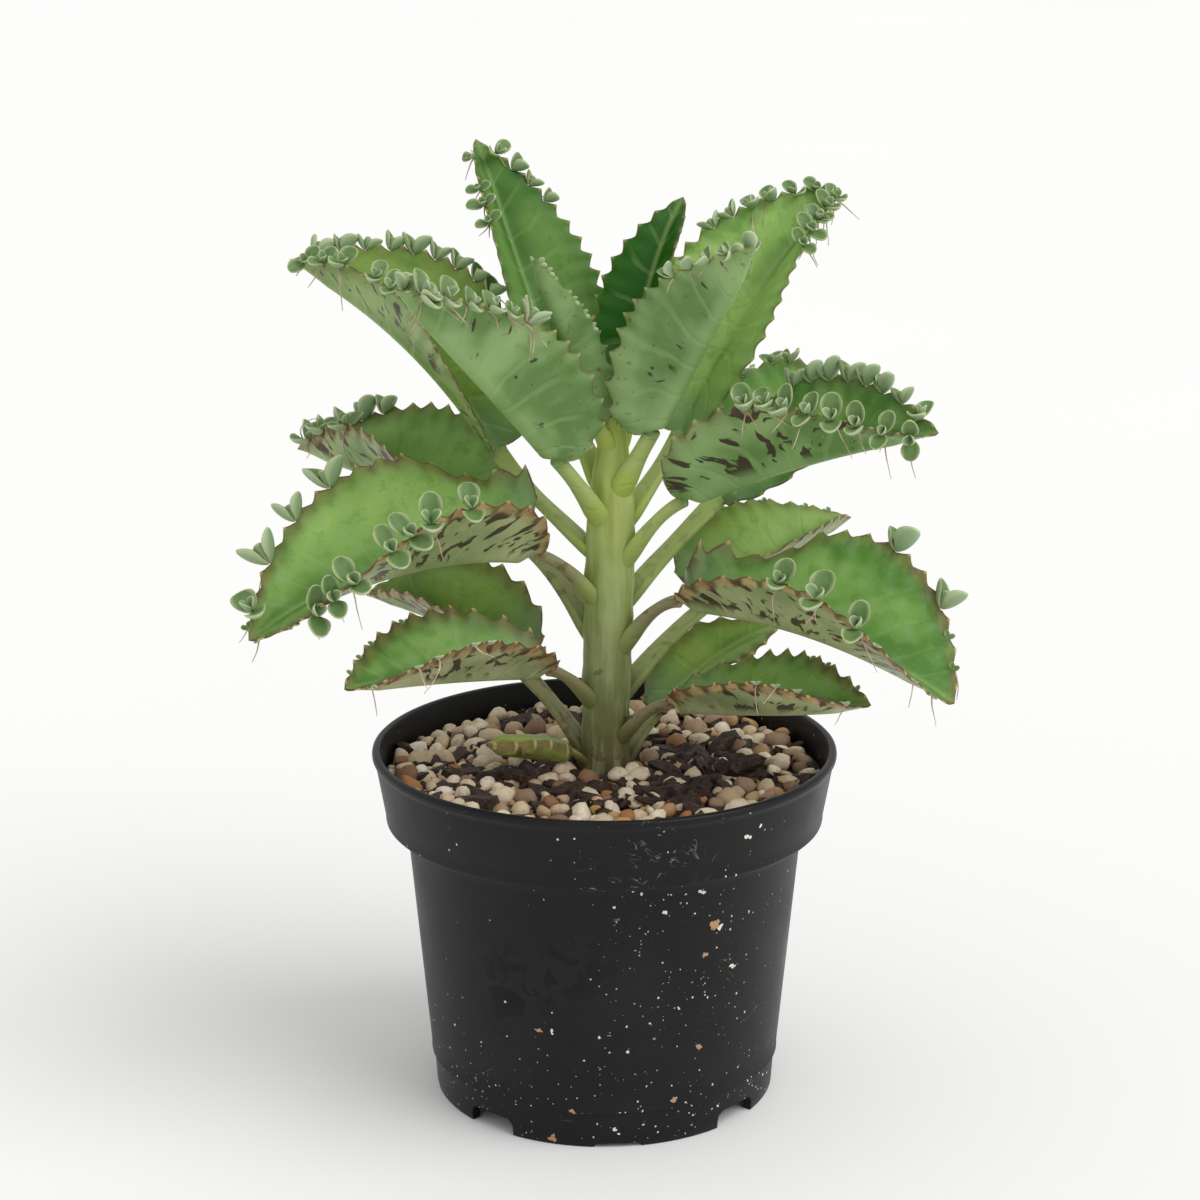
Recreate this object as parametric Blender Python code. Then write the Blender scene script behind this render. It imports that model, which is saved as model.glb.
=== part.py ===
# Mother of thousands in a round nursery pot: pot, soil, stem and eighteen leaves with plantlets.
import math
import random

import bmesh
import bpy
from mathutils import Euler, Matrix, Vector

for old in list(bpy.data.objects):
    bpy.data.objects.remove(old, do_unlink=True)

MM = 0.001
CLEAR = 0.3                     # gap between neighbouring solids, in mm
SEED = 41
POT_AXIS = (1.25, 0.0)          # where the pot's axis stands so that the object's outline is centred, in mm

# pot, in mm
RIM_RADIUS = 60.0
POT_HEIGHT = 92.4
COLLAR_LOW_Z = 73.6
COLLAR_LOW_RADIUS = 56.6
BODY_TOP_RADIUS = 51.2
SEAM_Z = 10.0
SEAM_RADIUS = 45.6
FOOT_RADIUS = 44.5
WALL = 1.3
BEAD = 0.9
FLOOR_Z = 5.0
FLOOR_THICK = 1.4
POT_SEGMENTS = 36
FOOT_TURN_DEG = 4.5
ARCH_WIDTH = 14.0
ARCH_HEIGHT = 3.6
NICK_WIDTH = 12.0
NICK_HEIGHT = 1.1
DRAIN_RADIUS = 5.0
DRAIN_RING = 27.0

# soil and gravel, in mm
SOIL_GAP = 0.6                  # wider than CLEAR because both walls are faceted
SOIL_TOP = 84.6
SOIL_BUMP = 0.8
SOIL_RINGS = 6
SOIL_SEGMENTS = 24
HOLE_FLOOR_Z = 68.0
PEBBLES = 58
PEBBLE_MIN = 3.0
PEBBLE_MAX = 5.4
PEBBLE_SINK = 0.25
PEBBLE_KEEP = 54.5

# stem, in mm: height and radius
STEM_RINGS = ((68.3, 5.4), (80, 6.2), (90, 6.3), (98, 6.0), (104, 5.8), (110, 6.2), (117, 5.9), (125, 6.2),
              (131, 5.9), (137, 6.2), (142, 5.9), (148, 6.1), (152, 5.7), (157, 5.8), (161, 5.1), (165, 4.9),
              (169, 3.9), (174, 3.6), (179, 2.6), (184, 2.0), (188, 1.3))
STEM_SIDES = 12
LEAN = 0.024                    # sideways lean of the stem per mm of height above the soil
LEAN_FROM_Z = 85.0

# leaf blade, in mm
MIDRIB_THICK = 2.4
BLADE_THICK = 1.7
EDGE_THICK = 1.1
TOOTH_PITCH = 7.6
TOOTH_DEPTH = 2.0
TOOTH_LEAN = 0.35               # how far a tooth's tip leans to the leaf's tip, in tooth pitches
SHAPE_POWER = 0.85
CUP = 0.06                      # outward swell of each half, in half widths
LOBE_END = 0.32                 # the swept back base lobes reach this share of the blade
PETIOLE_SIDES = 6
PETIOLE_REACH = 0.09            # the petiole runs into the blade to this share of its length
KEEL_BASE = 3.0
KEEL_TIP = 1.0

# plantlet, in lengths of its own height
PAIR_WIDTH = 0.30
PAIR_SPREAD_DEG = 33.0
FOOT_SINK = 0.24
SADDLE = 0.34

# Each leaf: z height at the stem; az compass angle; lift angle where it leaves the stem, at the blade's
# base and at the tip; petiole and blade lengths; bend sideways; half width; how far both halves fold up
# at base and tip; roll about the midrib at base and tip; full (larger = widest further out); lobe sweep.
# kids: side, first and last share of the blade, how many, height in mm.
LEAVES = {
    "leaf_01": dict(z=89, az=30, lift=(52, 42, 16), petiole=13, blade=41, bend=-14, half=12, fold=(32, 20),
                    roll=(4, 22), full=0.8, lobe=3, kids=()),
    "leaf_02": dict(z=91.5, az=-158, lift=(4, 9, 14), petiole=3, blade=24, bend=6, half=5.5, fold=(34, 26),
                    roll=(0, 0), full=0.9, lobe=1, kids=()),
    "leaf_03": dict(z=99, az=-26, lift=(58, 2, 12), petiole=15, blade=54, bend=0, half=17, fold=(50, 36),
                    roll=(-4, 12), full=1.0, lobe=4, kids=()),
    "leaf_04": dict(z=93, az=158, lift=(53, 37, 2), petiole=24, blade=48, bend=0, half=19, fold=(57, 52),
                    roll=(-22, -20), full=0.7, lobe=3, kids=()),
    "leaf_05": dict(z=109.5, az=-152, lift=(50, 6, 4), petiole=12, blade=60, bend=16, half=18, fold=(58, 36),
                    roll=(-8, -6), full=0.9, lobe=5, kids=()),
    "leaf_06": dict(z=110.5, az=33, lift=(36, 25, 11), petiole=31, blade=50, bend=8, half=20, fold=(46, 39),
                    roll=(4, 7), full=0.65, lobe=8, kids=()),
    "leaf_07": dict(z=124, az=-24, lift=(70, 0, -29), petiole=17, blade=75, bend=2, half=29, fold=(58, 33),
                    roll=(3, 14), full=1.15, lobe=5,
                    kids=((-1, 0.40, 0.62, 3, 9), (1, 0.62, 0.80, 2, 10))),
    "leaf_08": dict(z=125, az=150, lift=(62, 18, 7), petiole=34, blade=65, bend=2, half=23, fold=(44, 66),
                    roll=(-22, -12), full=0.7, lobe=5,
                    kids=((-1, 0.70, 0.95, 4, 8), (1, 0.80, 0.88, 2, 7))),
    "leaf_09": dict(z=137, az=-157, lift=(54, 9, -30), petiole=16, blade=78, bend=2, half=29, fold=(60, 26),
                    roll=(-4, -18), full=0.8, lobe=5,
                    kids=((1, 0.34, 0.80, 5, 9), (-1, 0.56, 0.92, 4, 10))),
    "leaf_10": dict(z=135.5, az=38, lift=(26, 34, 22), petiole=34, blade=55, bend=12, half=21, fold=(45, 48),
                    roll=(34, 38), full=0.8, lobe=5, kids=((1, 0.45, 0.75, 3, 6),)),
    "leaf_11": dict(z=146.5, az=-20, lift=(62, 26, 12), petiole=18, blade=70, bend=-10, half=24, fold=(56, 40),
                    roll=(-14, 20), full=0.8, lobe=6,
                    kids=((-1, 0.42, 0.96, 6, 8), (1, 0.42, 0.9, 6, 7))),
    "leaf_12": dict(z=149, az=162, lift=(22, 56, 24), petiole=31, blade=73, bend=4, half=24, fold=(54, 56),
                    roll=(-30, -6), full=0.8, lobe=5,
                    kids=((-1, 0.46, 0.96, 7, 7), (1, 0.70, 0.9, 3, 6))),
    "leaf_13": dict(z=157, az=-135, lift=(50, 44, 41), petiole=18, blade=72, bend=3, half=21, fold=(55, 47),
                    roll=(0, 5), full=0.7, lobe=6,
                    kids=((1, 0.56, 0.95, 6, 7), (-1, 0.70, 0.9, 3, 6))),
    "leaf_14": dict(z=156, az=35, lift=(34, 59, 40), petiole=22, blade=78, bend=-2, half=23, fold=(32, 52),
                    roll=(15, 22), full=0.8, lobe=5,
                    kids=((1, 0.62, 0.95, 6, 6), (-1, 0.72, 0.9, 3, 6))),
    "leaf_15": dict(z=164, az=-50, lift=(54, 54, 52), petiole=16, blade=63, bend=-6, half=19, fold=(54, 48),
                    roll=(1, -6), full=0.8, lobe=7,
                    kids=((-1, 0.72, 0.95, 4, 6), (1, 0.76, 0.9, 2, 7))),
    "leaf_16": dict(z=164, az=131, lift=(44, 58, 63), petiole=16, blade=77, bend=0, half=19, fold=(32, 39),
                    roll=(1, 2), full=0.8, lobe=5,
                    kids=((-1, 0.72, 0.95, 4, 6), (1, 0.64, 0.9, 4, 5))),
    "leaf_17": dict(z=174, az=-125, lift=(53, 58, 59), petiole=6, blade=51, bend=4, half=9, fold=(52, 50),
                    roll=(2, 4), full=0.7, lobe=4, kids=()),
    "leaf_18": dict(z=173, az=55, lift=(66, 80, 48), petiole=10, blade=54, bend=-2, half=12, fold=(50, 33),
                    roll=(-2, 10), full=0.8, lobe=4, kids=()),
}
APEX_PAIR = (("apex_left", 178, -35, 72, 12, 3.0), ("apex_right", 180, 145, 76, 12, 3.0))


def material(name, color, roughness, metallic=0.0):
    mat = bpy.data.materials.new(name)
    mat.use_nodes = True
    shader = mat.node_tree.nodes["Principled BSDF"]
    shader.inputs["Base Color"].default_value = (*color, 1.0)
    shader.inputs["Roughness"].default_value = roughness
    shader.inputs["Metallic"].default_value = metallic
    mat.diffuse_color = (*color, 1.0)
    return mat


def pot_plastic():
    return material("pot_plastic", (0.025, 0.025, 0.027), 0.55)


def gravel_soil():
    return material("gravel_soil", (0.38, 0.30, 0.20), 0.9)


def stem_skin():
    return material("stem_skin", (0.38, 0.46, 0.22), 0.55)


def leaf_skin():
    return material("leaf_skin", (0.16, 0.33, 0.12), 0.5)


def solid(name, points, faces, mat=None):
    # points are in mm about the pot's axis
    mesh = bpy.data.meshes.new(name)
    moved = [((p[0] + POT_AXIS[0]) * MM, (p[1] + POT_AXIS[1]) * MM, p[2] * MM) for p in points]
    mesh.from_pydata(moved, [], faces)
    work = bmesh.new()
    work.from_mesh(mesh)
    bmesh.ops.recalc_face_normals(work, faces=work.faces)
    work.to_mesh(mesh)
    work.free()
    obj = bpy.data.objects.new(name, mesh)
    bpy.context.scene.collection.objects.link(obj)
    if mat:
        mesh.materials.append(mat)
    return obj


def joined(body, extras, operation="UNION"):
    # one Boolean on a collection, applied, and the collection's objects removed
    group = bpy.data.collections.new(body.name + "_extras")
    bpy.context.scene.collection.children.link(group)
    for extra in extras:
        bpy.context.scene.collection.objects.unlink(extra)
        group.objects.link(extra)
    step = body.modifiers.new("join", "BOOLEAN")
    step.operation = operation
    step.operand_type = "COLLECTION"
    step.solver = "MANIFOLD"
    step.collection = group
    bpy.context.view_layer.update()
    graph = bpy.context.evaluated_depsgraph_get()
    mesh = bpy.data.meshes.new_from_object(body.evaluated_get(graph))
    body.modifiers.clear()
    body.data = mesh
    for extra in list(group.objects):
        bpy.data.objects.remove(extra, do_unlink=True)
    bpy.data.collections.remove(group)
    if operation == "UNION":
        fill_pockets(body.data)
    return body


def fill_pockets(mesh):
    # leaflets that meet can close off a small void; only the outer shell stays
    work = bmesh.new()
    work.from_mesh(mesh)
    left = set(work.faces)
    shells = []
    while left:
        shell = set()
        open_faces = [left.pop()]
        while open_faces:
            face = open_faces.pop()
            shell.add(face)
            for edge in face.edges:
                for other in edge.link_faces:
                    if other in left:
                        left.remove(other)
                        open_faces.append(other)
        shells.append(shell)
    shells.sort(key=len)
    inner = [face for shell in shells[:-1] for face in shell]
    bmesh.ops.delete(work, geom=inner, context="FACES")
    work.to_mesh(mesh)
    work.free()


def lathe(name, profile, sides, mat=None):
    # profile runs from a point on the axis round to another point on the axis
    points = [(0, 0, profile[0][1])]
    rings = profile[1:-1]
    for radius, z in rings:
        for i in range(sides):
            a = 2 * math.pi * i / sides
            points.append((radius * math.cos(a), radius * math.sin(a), z))
    points.append((0, 0, profile[-1][1]))
    last = len(points) - 1
    faces = []
    for i in range(sides):
        j = (i + 1) % sides
        faces.append((0, 1 + i, 1 + j))
        for k in range(len(rings) - 1):
            low = 1 + k * sides
            high = low + sides
            faces.append((low + i, high + i, high + j, low + j))
        end = 1 + (len(rings) - 1) * sides
        faces.append((end + i, last, end + j))
    return solid(name, points, faces, mat)


def box(name, size, centre, turn_deg):
    turn = Matrix.Rotation(math.radians(turn_deg), 3, "Z")
    points = []
    for x in (-0.5, 0.5):
        for y in (-0.5, 0.5):
            for z in (-0.5, 0.5):
                points.append(turn @ Vector((x * size[0], y * size[1], z * size[2])) + Vector(centre))
    faces = ((0, 1, 3, 2), (4, 6, 7, 5), (0, 4, 5, 1), (2, 3, 7, 6), (0, 2, 6, 4), (1, 5, 7, 3))
    return solid(name, points, faces)


def pot_inner_radius(z):
    if z > COLLAR_LOW_Z:
        share = (z - COLLAR_LOW_Z) / (POT_HEIGHT - COLLAR_LOW_Z)
        return COLLAR_LOW_RADIUS + (RIM_RADIUS - BEAD - COLLAR_LOW_RADIUS) * share - WALL
    share = (z - SEAM_Z) / (COLLAR_LOW_Z - SEAM_Z)
    return SEAM_RADIUS + (BODY_TOP_RADIUS - SEAM_RADIUS) * share - WALL


def pot():
    floor_in = pot_inner_radius(FLOOR_Z)
    collar_out = RIM_RADIUS - BEAD
    profile = [
        (0, FLOOR_Z), (FOOT_RADIUS - 2 * WALL, FLOOR_Z), (FOOT_RADIUS - 2 * WALL, 0), (FOOT_RADIUS, 0),
        (SEAM_RADIUS - 0.5, SEAM_Z - 0.6), (SEAM_RADIUS + 0.1, SEAM_Z), (SEAM_RADIUS + 0.1, SEAM_Z + 0.5),
        (BODY_TOP_RADIUS, COLLAR_LOW_Z - 2.6), (COLLAR_LOW_RADIUS - 0.8, COLLAR_LOW_Z),
        (COLLAR_LOW_RADIUS, COLLAR_LOW_Z + 0.8), (collar_out, POT_HEIGHT - 2.6),
        (RIM_RADIUS, POT_HEIGHT - 1.8), (RIM_RADIUS, POT_HEIGHT - 0.5), (RIM_RADIUS - 0.6, POT_HEIGHT),
        (pot_inner_radius(POT_HEIGHT) + 0.4, POT_HEIGHT), (pot_inner_radius(POT_HEIGHT), POT_HEIGHT - 0.5),
        (pot_inner_radius(COLLAR_LOW_Z + 1), COLLAR_LOW_Z + 1),
        (pot_inner_radius(COLLAR_LOW_Z - 2), COLLAR_LOW_Z - 2),
        (floor_in, FLOOR_Z + FLOOR_THICK), (0, FLOOR_Z + FLOOR_THICK),
    ]
    body = lathe("pot", profile, POT_SEGMENTS, pot_plastic())
    cuts = []
    for i in range(4):
        turn = FOOT_TURN_DEG + 90 * i
        for k, (angle, width, height) in enumerate(((turn, NICK_WIDTH, NICK_HEIGHT),
                                                    (turn + 45, ARCH_WIDTH, ARCH_HEIGHT))):
            a = math.radians(angle - 90)
            centre = (FOOT_RADIUS * math.cos(a), FOOT_RADIUS * math.sin(a), height / 2 - 0.5)
            cuts.append(box(f"notch_{i}_{k}", (width, 9.0, height + 1.0), centre, angle))
        a = math.radians(turn)
        hole = lathe(f"drain_{i}", [(0, FLOOR_Z - 1), (DRAIN_RADIUS, FLOOR_Z - 1),
                                    (DRAIN_RADIUS, FLOOR_Z + FLOOR_THICK + 1),
                                    (0, FLOOR_Z + FLOOR_THICK + 1)], 10)
        hole.data.transform(Matrix.Translation((DRAIN_RING * math.cos(a) * MM,
                                                DRAIN_RING * math.sin(a) * MM, 0)))
        cuts.append(hole)
    return joined(body, cuts, "DIFFERENCE")


def lean(z):
    return LEAN * max(0.0, z - LEAN_FROM_Z)


def stem_radius(z):
    for (z0, r0), (z1, r1) in zip(STEM_RINGS, STEM_RINGS[1:]):
        if z <= z1:
            return r0 + (r1 - r0) * (z - z0) / (z1 - z0)
    return STEM_RINGS[-1][1]


def pebble(name, centre, radius, rng):
    # a lumpy twenty-sided stone
    golden = (1 + math.sqrt(5)) / 2
    corners = []
    for s in (-1, 1):
        for t in (-golden, golden):
            corners += [(0, s, t), (s, t, 0), (t, 0, s)]
    squash = Vector((1.0, rng.uniform(0.7, 0.95), rng.uniform(0.55, 0.8)))
    turn = Euler([rng.uniform(0, 2 * math.pi) for _ in range(3)]).to_matrix()
    points = []
    for corner in corners:
        p = Vector(corner).normalized() * rng.uniform(0.92, 1.06) * radius
        points.append(turn @ Vector((p.x * squash.x, p.y * squash.y, p.z * squash.z)) + Vector(centre))
    hull = bpy.data.meshes.new(name)
    hull.from_pydata([tuple(p) for p in points], [], [])
    work = bmesh.new()
    work.from_mesh(hull)
    bmesh.ops.convex_hull(work, input=work.verts)
    work.normal_update()
    shape = [tuple(v.co) for v in work.verts]
    faces = [tuple(v.index for v in f.verts) for f in work.faces]
    work.free()
    bpy.data.meshes.remove(hull)
    return solid(name, shape, faces)


def soil():
    rng = random.Random(SEED)
    hole = stem_radius(SOIL_TOP) + CLEAR + 0.1
    rim = pot_inner_radius(SOIL_TOP) - SOIL_GAP
    points = []
    for k in range(SOIL_RINGS):
        radius = hole + (rim - hole) * k / (SOIL_RINGS - 1)
        for i in range(SOIL_SEGMENTS):
            a = 2 * math.pi * i / SOIL_SEGMENTS
            bump = 0 if k in (0, SOIL_RINGS - 1) else rng.uniform(-SOIL_BUMP, SOIL_BUMP)
            points.append((radius * math.cos(a), radius * math.sin(a), SOIL_TOP + bump))
    low_z = FLOOR_Z + FLOOR_THICK + CLEAR
    for radius, z in ((pot_inner_radius(COLLAR_LOW_Z + 1.2) - SOIL_GAP, COLLAR_LOW_Z + 1.2),
                      (pot_inner_radius(COLLAR_LOW_Z - 2.2) - SOIL_GAP, COLLAR_LOW_Z - 1.4),
                      (pot_inner_radius(low_z) - SOIL_GAP, low_z)):
        for i in range(SOIL_SEGMENTS):
            a = 2 * math.pi * i / SOIL_SEGMENTS
            points.append((radius * math.cos(a), radius * math.sin(a), z))
    rings = SOIL_RINGS + 3
    for i in range(SOIL_SEGMENTS):
        a = 2 * math.pi * i / SOIL_SEGMENTS
        points.append((hole * math.cos(a), hole * math.sin(a), HOLE_FLOOR_Z))
    under = len(points)
    points.append((0, 0, low_z))
    points.append((0, 0, HOLE_FLOOR_Z))
    faces = []
    n = SOIL_SEGMENTS
    for i in range(n):
        j = (i + 1) % n
        for k in range(rings - 1):
            faces.append((k * n + i, (k + 1) * n + i, (k + 1) * n + j, k * n + j))
        faces.append(((rings - 1) * n + i, under, (rings - 1) * n + j))
        faces.append((rings * n + i, i, j, rings * n + j))
        faces.append((rings * n + i, rings * n + j, under + 1))
    body = solid("soil", points, faces, gravel_soil())
    stones = []
    for i in range(PEBBLES):
        # spread evenly over the surface by the golden angle
        radius = math.sqrt((i + 0.7) / PEBBLES) * PEBBLE_KEEP
        size = rng.uniform(PEBBLE_MIN, PEBBLE_MAX)
        angle = i * 2.39996 + rng.uniform(-0.12, 0.12)
        if radius < hole + size + 1.0:
            continue
        radius = min(radius, rim - size * 1.08)
        centre = (radius * math.cos(angle), radius * math.sin(angle), SOIL_TOP + size * PEBBLE_SINK)
        if under_old_leaf(centre, size):
            continue
        stones.append(pebble(f"pebble_{i}", centre, size, rng))
    return joined(body, stones)


def under_old_leaf(centre, size):
    # the withered lowest leaf lies close over the soil, so only low ground is left beneath it
    spec = LEAVES["leaf_02"]
    a = math.radians(spec["az"])
    along = centre[0] * math.cos(a) + centre[1] * math.sin(a)
    across = -centre[0] * math.sin(a) + centre[1] * math.cos(a)
    return 0 < along < 40 and abs(across) < 7 + size and size > 2.4


def direction(lift_deg, az_deg):
    lift = math.radians(lift_deg)
    az = math.radians(az_deg)
    return Vector((math.cos(lift) * math.cos(az), math.cos(lift) * math.sin(az), math.sin(lift)))


def mix(a, b, share):
    return a + (b - a) * share


class Blade:
    # the leaf's curves: midrib, frame and margin at any share of the blade
    STEPS = 60

    def __init__(self, spec):
        self.spec = spec
        start_radius = stem_radius(spec["z"]) + CLEAR + 0.25
        az = math.radians(spec["az"])
        at = Vector((lean(spec["z"]) + start_radius * math.cos(az), start_radius * math.sin(az), spec["z"]))
        self.petiole = [at.copy()]
        for i in range(8):
            lift = mix(spec["lift"][0], spec["lift"][1], (i + 0.5) / 8)
            at = at + direction(lift, spec["az"]) * spec["petiole"] / 8
            self.petiole.append(at.copy())
        self.rib = [at.copy()]
        for i in range(self.STEPS):
            u = (i + 0.5) / self.STEPS
            at = at + self.tangent(u) * spec["blade"] / self.STEPS
            self.rib.append(at.copy())

    def tangent(self, u):
        spec = self.spec
        return direction(mix(spec["lift"][1], spec["lift"][2], u), spec["az"] + spec["bend"] * u)

    def point(self, u):
        at = min(max(u, 0.0), 1.0) * self.STEPS
        i = min(int(at), self.STEPS - 1)
        return self.rib[i].lerp(self.rib[i + 1], at - i)

    def frame(self, u):
        spec = self.spec
        az = math.radians(spec["az"] + spec["bend"] * u)
        t = self.tangent(u)
        side = Vector((-math.sin(az), math.cos(az), 0))
        up = t.cross(side)
        roll = math.radians(mix(spec["roll"][0], spec["roll"][1], u))
        return t, side * math.cos(roll) + up * math.sin(roll), up * math.cos(roll) - side * math.sin(roll)

    def half_width(self, u):
        spec = self.spec
        return spec["half"] * max(math.sin(math.pi * min(u, 1.0) ** spec["full"]), 0.0) ** SHAPE_POWER

    def across(self, u, sign):
        # the unit direction of one half and its upper normal
        t, side, up = self.frame(u)
        fold = math.radians(mix(self.spec["fold"][0], self.spec["fold"][1], u))
        out = side * sign * math.cos(fold) + up * math.sin(fold)
        normal = up * math.cos(fold) - side * sign * math.sin(fold)
        return t, out, normal

    def sweep(self, u):
        share = min(u / LOBE_END, 1.0)
        return self.spec["lobe"] * math.sin(math.pi * share ** 0.7)


def blade_rows(spec):
    teeth = max(4, round(spec["blade"] / TOOTH_PITCH))
    rows = [(0.0, 0.0)]
    for k in range(teeth):
        rows.append(((k + 0.18) / teeth, -0.5))
        rows.append(((k + 0.66) / teeth, 0.5))
    rows.append((1.0, 0.0))
    return teeth, rows


def blade_solid(name, curve):
    spec = curve.spec
    teeth, rows = blade_rows(spec)
    depth = TOOTH_DEPTH * min(1.0, spec["half"] / 14)
    top = []
    bottom = []
    for u, tooth in rows:
        at = curve.point(u)
        t, side, up = curve.frame(u)
        width = max(curve.half_width(u), 0.9)
        line_top = []
        line_bottom = []
        for sign in (1, -1):
            t, out, normal = curve.across(u, sign)
            reach = width + tooth * depth * min(1.0, width / 6)
            back = -t * curve.sweep(u) + t * (TOOTH_LEAN * spec["blade"] / teeth if tooth > 0 else 0)
            edge = at + out * reach + back
            middle = at + out * reach * 0.5 + back * 0.45 - normal * CUP * width
            pair = ((edge, EDGE_THICK), (middle, BLADE_THICK))
            pair = pair if sign > 0 else tuple(reversed(pair))
            for p, thick in pair:
                line_top.append(p + normal * thick / 2)
                line_bottom.append(p - normal * thick / 2)
            if sign > 0:
                line_top.append(at + up * MIDRIB_THICK / 2)
                line_bottom.append(at - up * mix(KEEL_BASE, KEEL_TIP, u) * min(1.0, spec["half"] / 18))
        top.append(line_top)
        bottom.append(line_bottom)
    columns = 5
    points = [p for line in top for p in line] + [p for line in bottom for p in line]
    offset = len(rows) * columns
    faces = []
    for r in range(len(rows) - 1):
        for c in range(columns - 1):
            a = r * columns + c
            b = a + columns
            # the same diagonal on both faces keeps a waved blade's thickness
            if c < 2:
                faces += [(a, a + 1, b), (a + 1, b + 1, b)]
                faces += [(offset + a, offset + b, offset + a + 1),
                          (offset + a + 1, offset + b, offset + b + 1)]
            else:
                faces += [(a, a + 1, b + 1), (a, b + 1, b)]
                faces += [(offset + a, offset + b + 1, offset + a + 1),
                          (offset + a, offset + b, offset + b + 1)]
        for c in (0, columns - 1):
            a = r * columns + c
            b = a + columns
            quad = (a, b, offset + b, offset + a)
            faces.append(quad if c == 0 else tuple(reversed(quad)))
    for r in (0, len(rows) - 1):
        for c in range(columns - 1):
            a = r * columns + c
            quad = (a, offset + a, offset + a + 1, a + 1)
            faces.append(quad if r == 0 else tuple(reversed(quad)))
    return solid(name, points, faces, leaf_skin_shared())


def leaf_skin_shared():
    mat = bpy.data.materials.get("leaf_skin")
    return mat or leaf_skin()


def tube(name, path, sides, mat=None):
    # path: (centre, tangent, side, half width, half height)
    points = []
    for at, t, side, wide, high in path:
        up = t.cross(side).normalized()
        for i in range(sides):
            a = 2 * math.pi * i / sides
            points.append(at + side * math.cos(a) * wide + up * math.sin(a) * high)
    faces = []
    for k in range(len(path) - 1):
        for i in range(sides):
            j = (i + 1) % sides
            faces.append((k * sides + i, k * sides + j, (k + 1) * sides + j, (k + 1) * sides + i))
    faces.append(tuple(reversed(range(sides))))
    faces.append(tuple(range((len(path) - 1) * sides, len(path) * sides)))
    return solid(name, points, faces, mat)


def petiole_solid(name, curve):
    spec = curve.spec
    az = math.radians(spec["az"])
    side = Vector((-math.sin(az), math.cos(az), 0))
    size = min(1.0, 0.45 + spec["half"] / 36)
    path = []
    for i in (0, 2, 5, 8):
        share = i / 8
        t = direction(mix(spec["lift"][0], spec["lift"][1], share), spec["az"])
        if i == 0:
            t = direction(0, spec["az"])
        wide = mix(3.7, 2.4, min(1, share * 1.6)) * size
        high = mix(3.0, 2.0, min(1, share * 1.6)) * size
        path.append((curve.petiole[i], t, side, wide, high))
    t, across, up = curve.frame(PETIOLE_REACH)
    path.append((curve.point(PETIOLE_REACH) - up * 0.9 * size, t, across, 1.5 * size, 1.2 * size))
    return tube(name, path, PETIOLE_SIDES)


def kite(name, root, tip, across, normal, width, thick):
    # a small pointed leaf: eight faces between root, tip and a fat middle
    middle = root.lerp(tip, 0.58)
    points = [root, tip, middle + across * width, middle - across * width, middle + normal * thick,
              middle - normal * thick]
    faces = [(0, 2, 4), (0, 4, 3), (0, 3, 5), (0, 5, 2), (1, 4, 2), (1, 3, 4), (1, 5, 3), (1, 2, 5)]
    return solid(name, points, faces)


def plantlet(name, root, along, up, height, rng):
    # one opposite pair of leaflets in one twelve-sided solid, standing on the leaf's margin
    along = Matrix.Rotation(rng.uniform(-0.6, 0.6), 3, up) @ along
    cross = up.cross(along).normalized()
    spread = math.sin(math.radians(PAIR_SPREAD_DEG)) * height
    points = [root - up * height * FOOT_SINK, root + up * height * SADDLE]
    for sign in (-1, 1):
        points.append(root + up * height * 0.4 + cross * sign * height * PAIR_WIDTH)
    for sign in (-1, 1):
        points.append(root + up * height + along * sign * spread)
        points.append(root + up * height * 0.38 + along * sign * spread * 0.72)
    faces = []
    for tip, bulge in ((4, 5), (6, 7)):
        faces += [(tip, bulge, 2), (tip, 2, 1), (tip, 1, 3), (tip, 3, bulge)]
    for side in (2, 3):
        faces += [(0, side, 5), (0, side, 7)]
    return [solid(name, points, faces)]


def leaf(name):
    spec = LEAVES[name]
    rng = random.Random(SEED + sum(ord(c) for c in name))
    curve = Blade(spec)
    body = blade_solid(name, curve)
    extras = [petiole_solid(name + "_petiole", curve)]
    for run, (sign, first, last, count, height) in enumerate(spec["kids"]):
        for i in range(count):
            u = mix(first, last, i / (count - 1)) if count > 1 else first
            u = min(u, 0.985)
            t, out, normal = curve.across(u, sign)
            edge = curve.point(u) + out * (curve.half_width(u) - TOOTH_DEPTH * 0.5) - t * curve.sweep(u)
            up = (out * 0.8 + Vector((0, 0, 0.7)) + normal * 0.25).normalized()
            along = (t - up * t.dot(up)).normalized()
            extras += plantlet(f"{name}_kid{run}_{i}", edge, along, up, height * rng.uniform(0.85, 1.15), rng)
    return joined(body, extras)


def stem():
    path = []
    for z, radius in STEM_RINGS:
        path.append((Vector((lean(z), 0, z)), Vector((0, 0, 1)), Vector((1, 0, 0)), radius, radius))
    body = tube("stem", path, STEM_SIDES, stem_skin())
    extras = []
    for name, z, az, lift, length, width in APEX_PAIR:
        way = direction(lift, az)
        side = Vector((-math.sin(math.radians(az)), math.cos(math.radians(az)), 0))
        root = Vector((lean(z), 0, z)) + direction(0, az) * 0.6
        extras.append(kite(name, root, root + way * length, side, way.cross(side), width, 1.0))
    return joined(body, extras)


pot()
soil()
stem()
for leaf_name in LEAVES:
    leaf(leaf_name)
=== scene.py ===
import math
import random
from types import SimpleNamespace

import bpy
import numpy as np
from mathutils import Matrix


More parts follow.
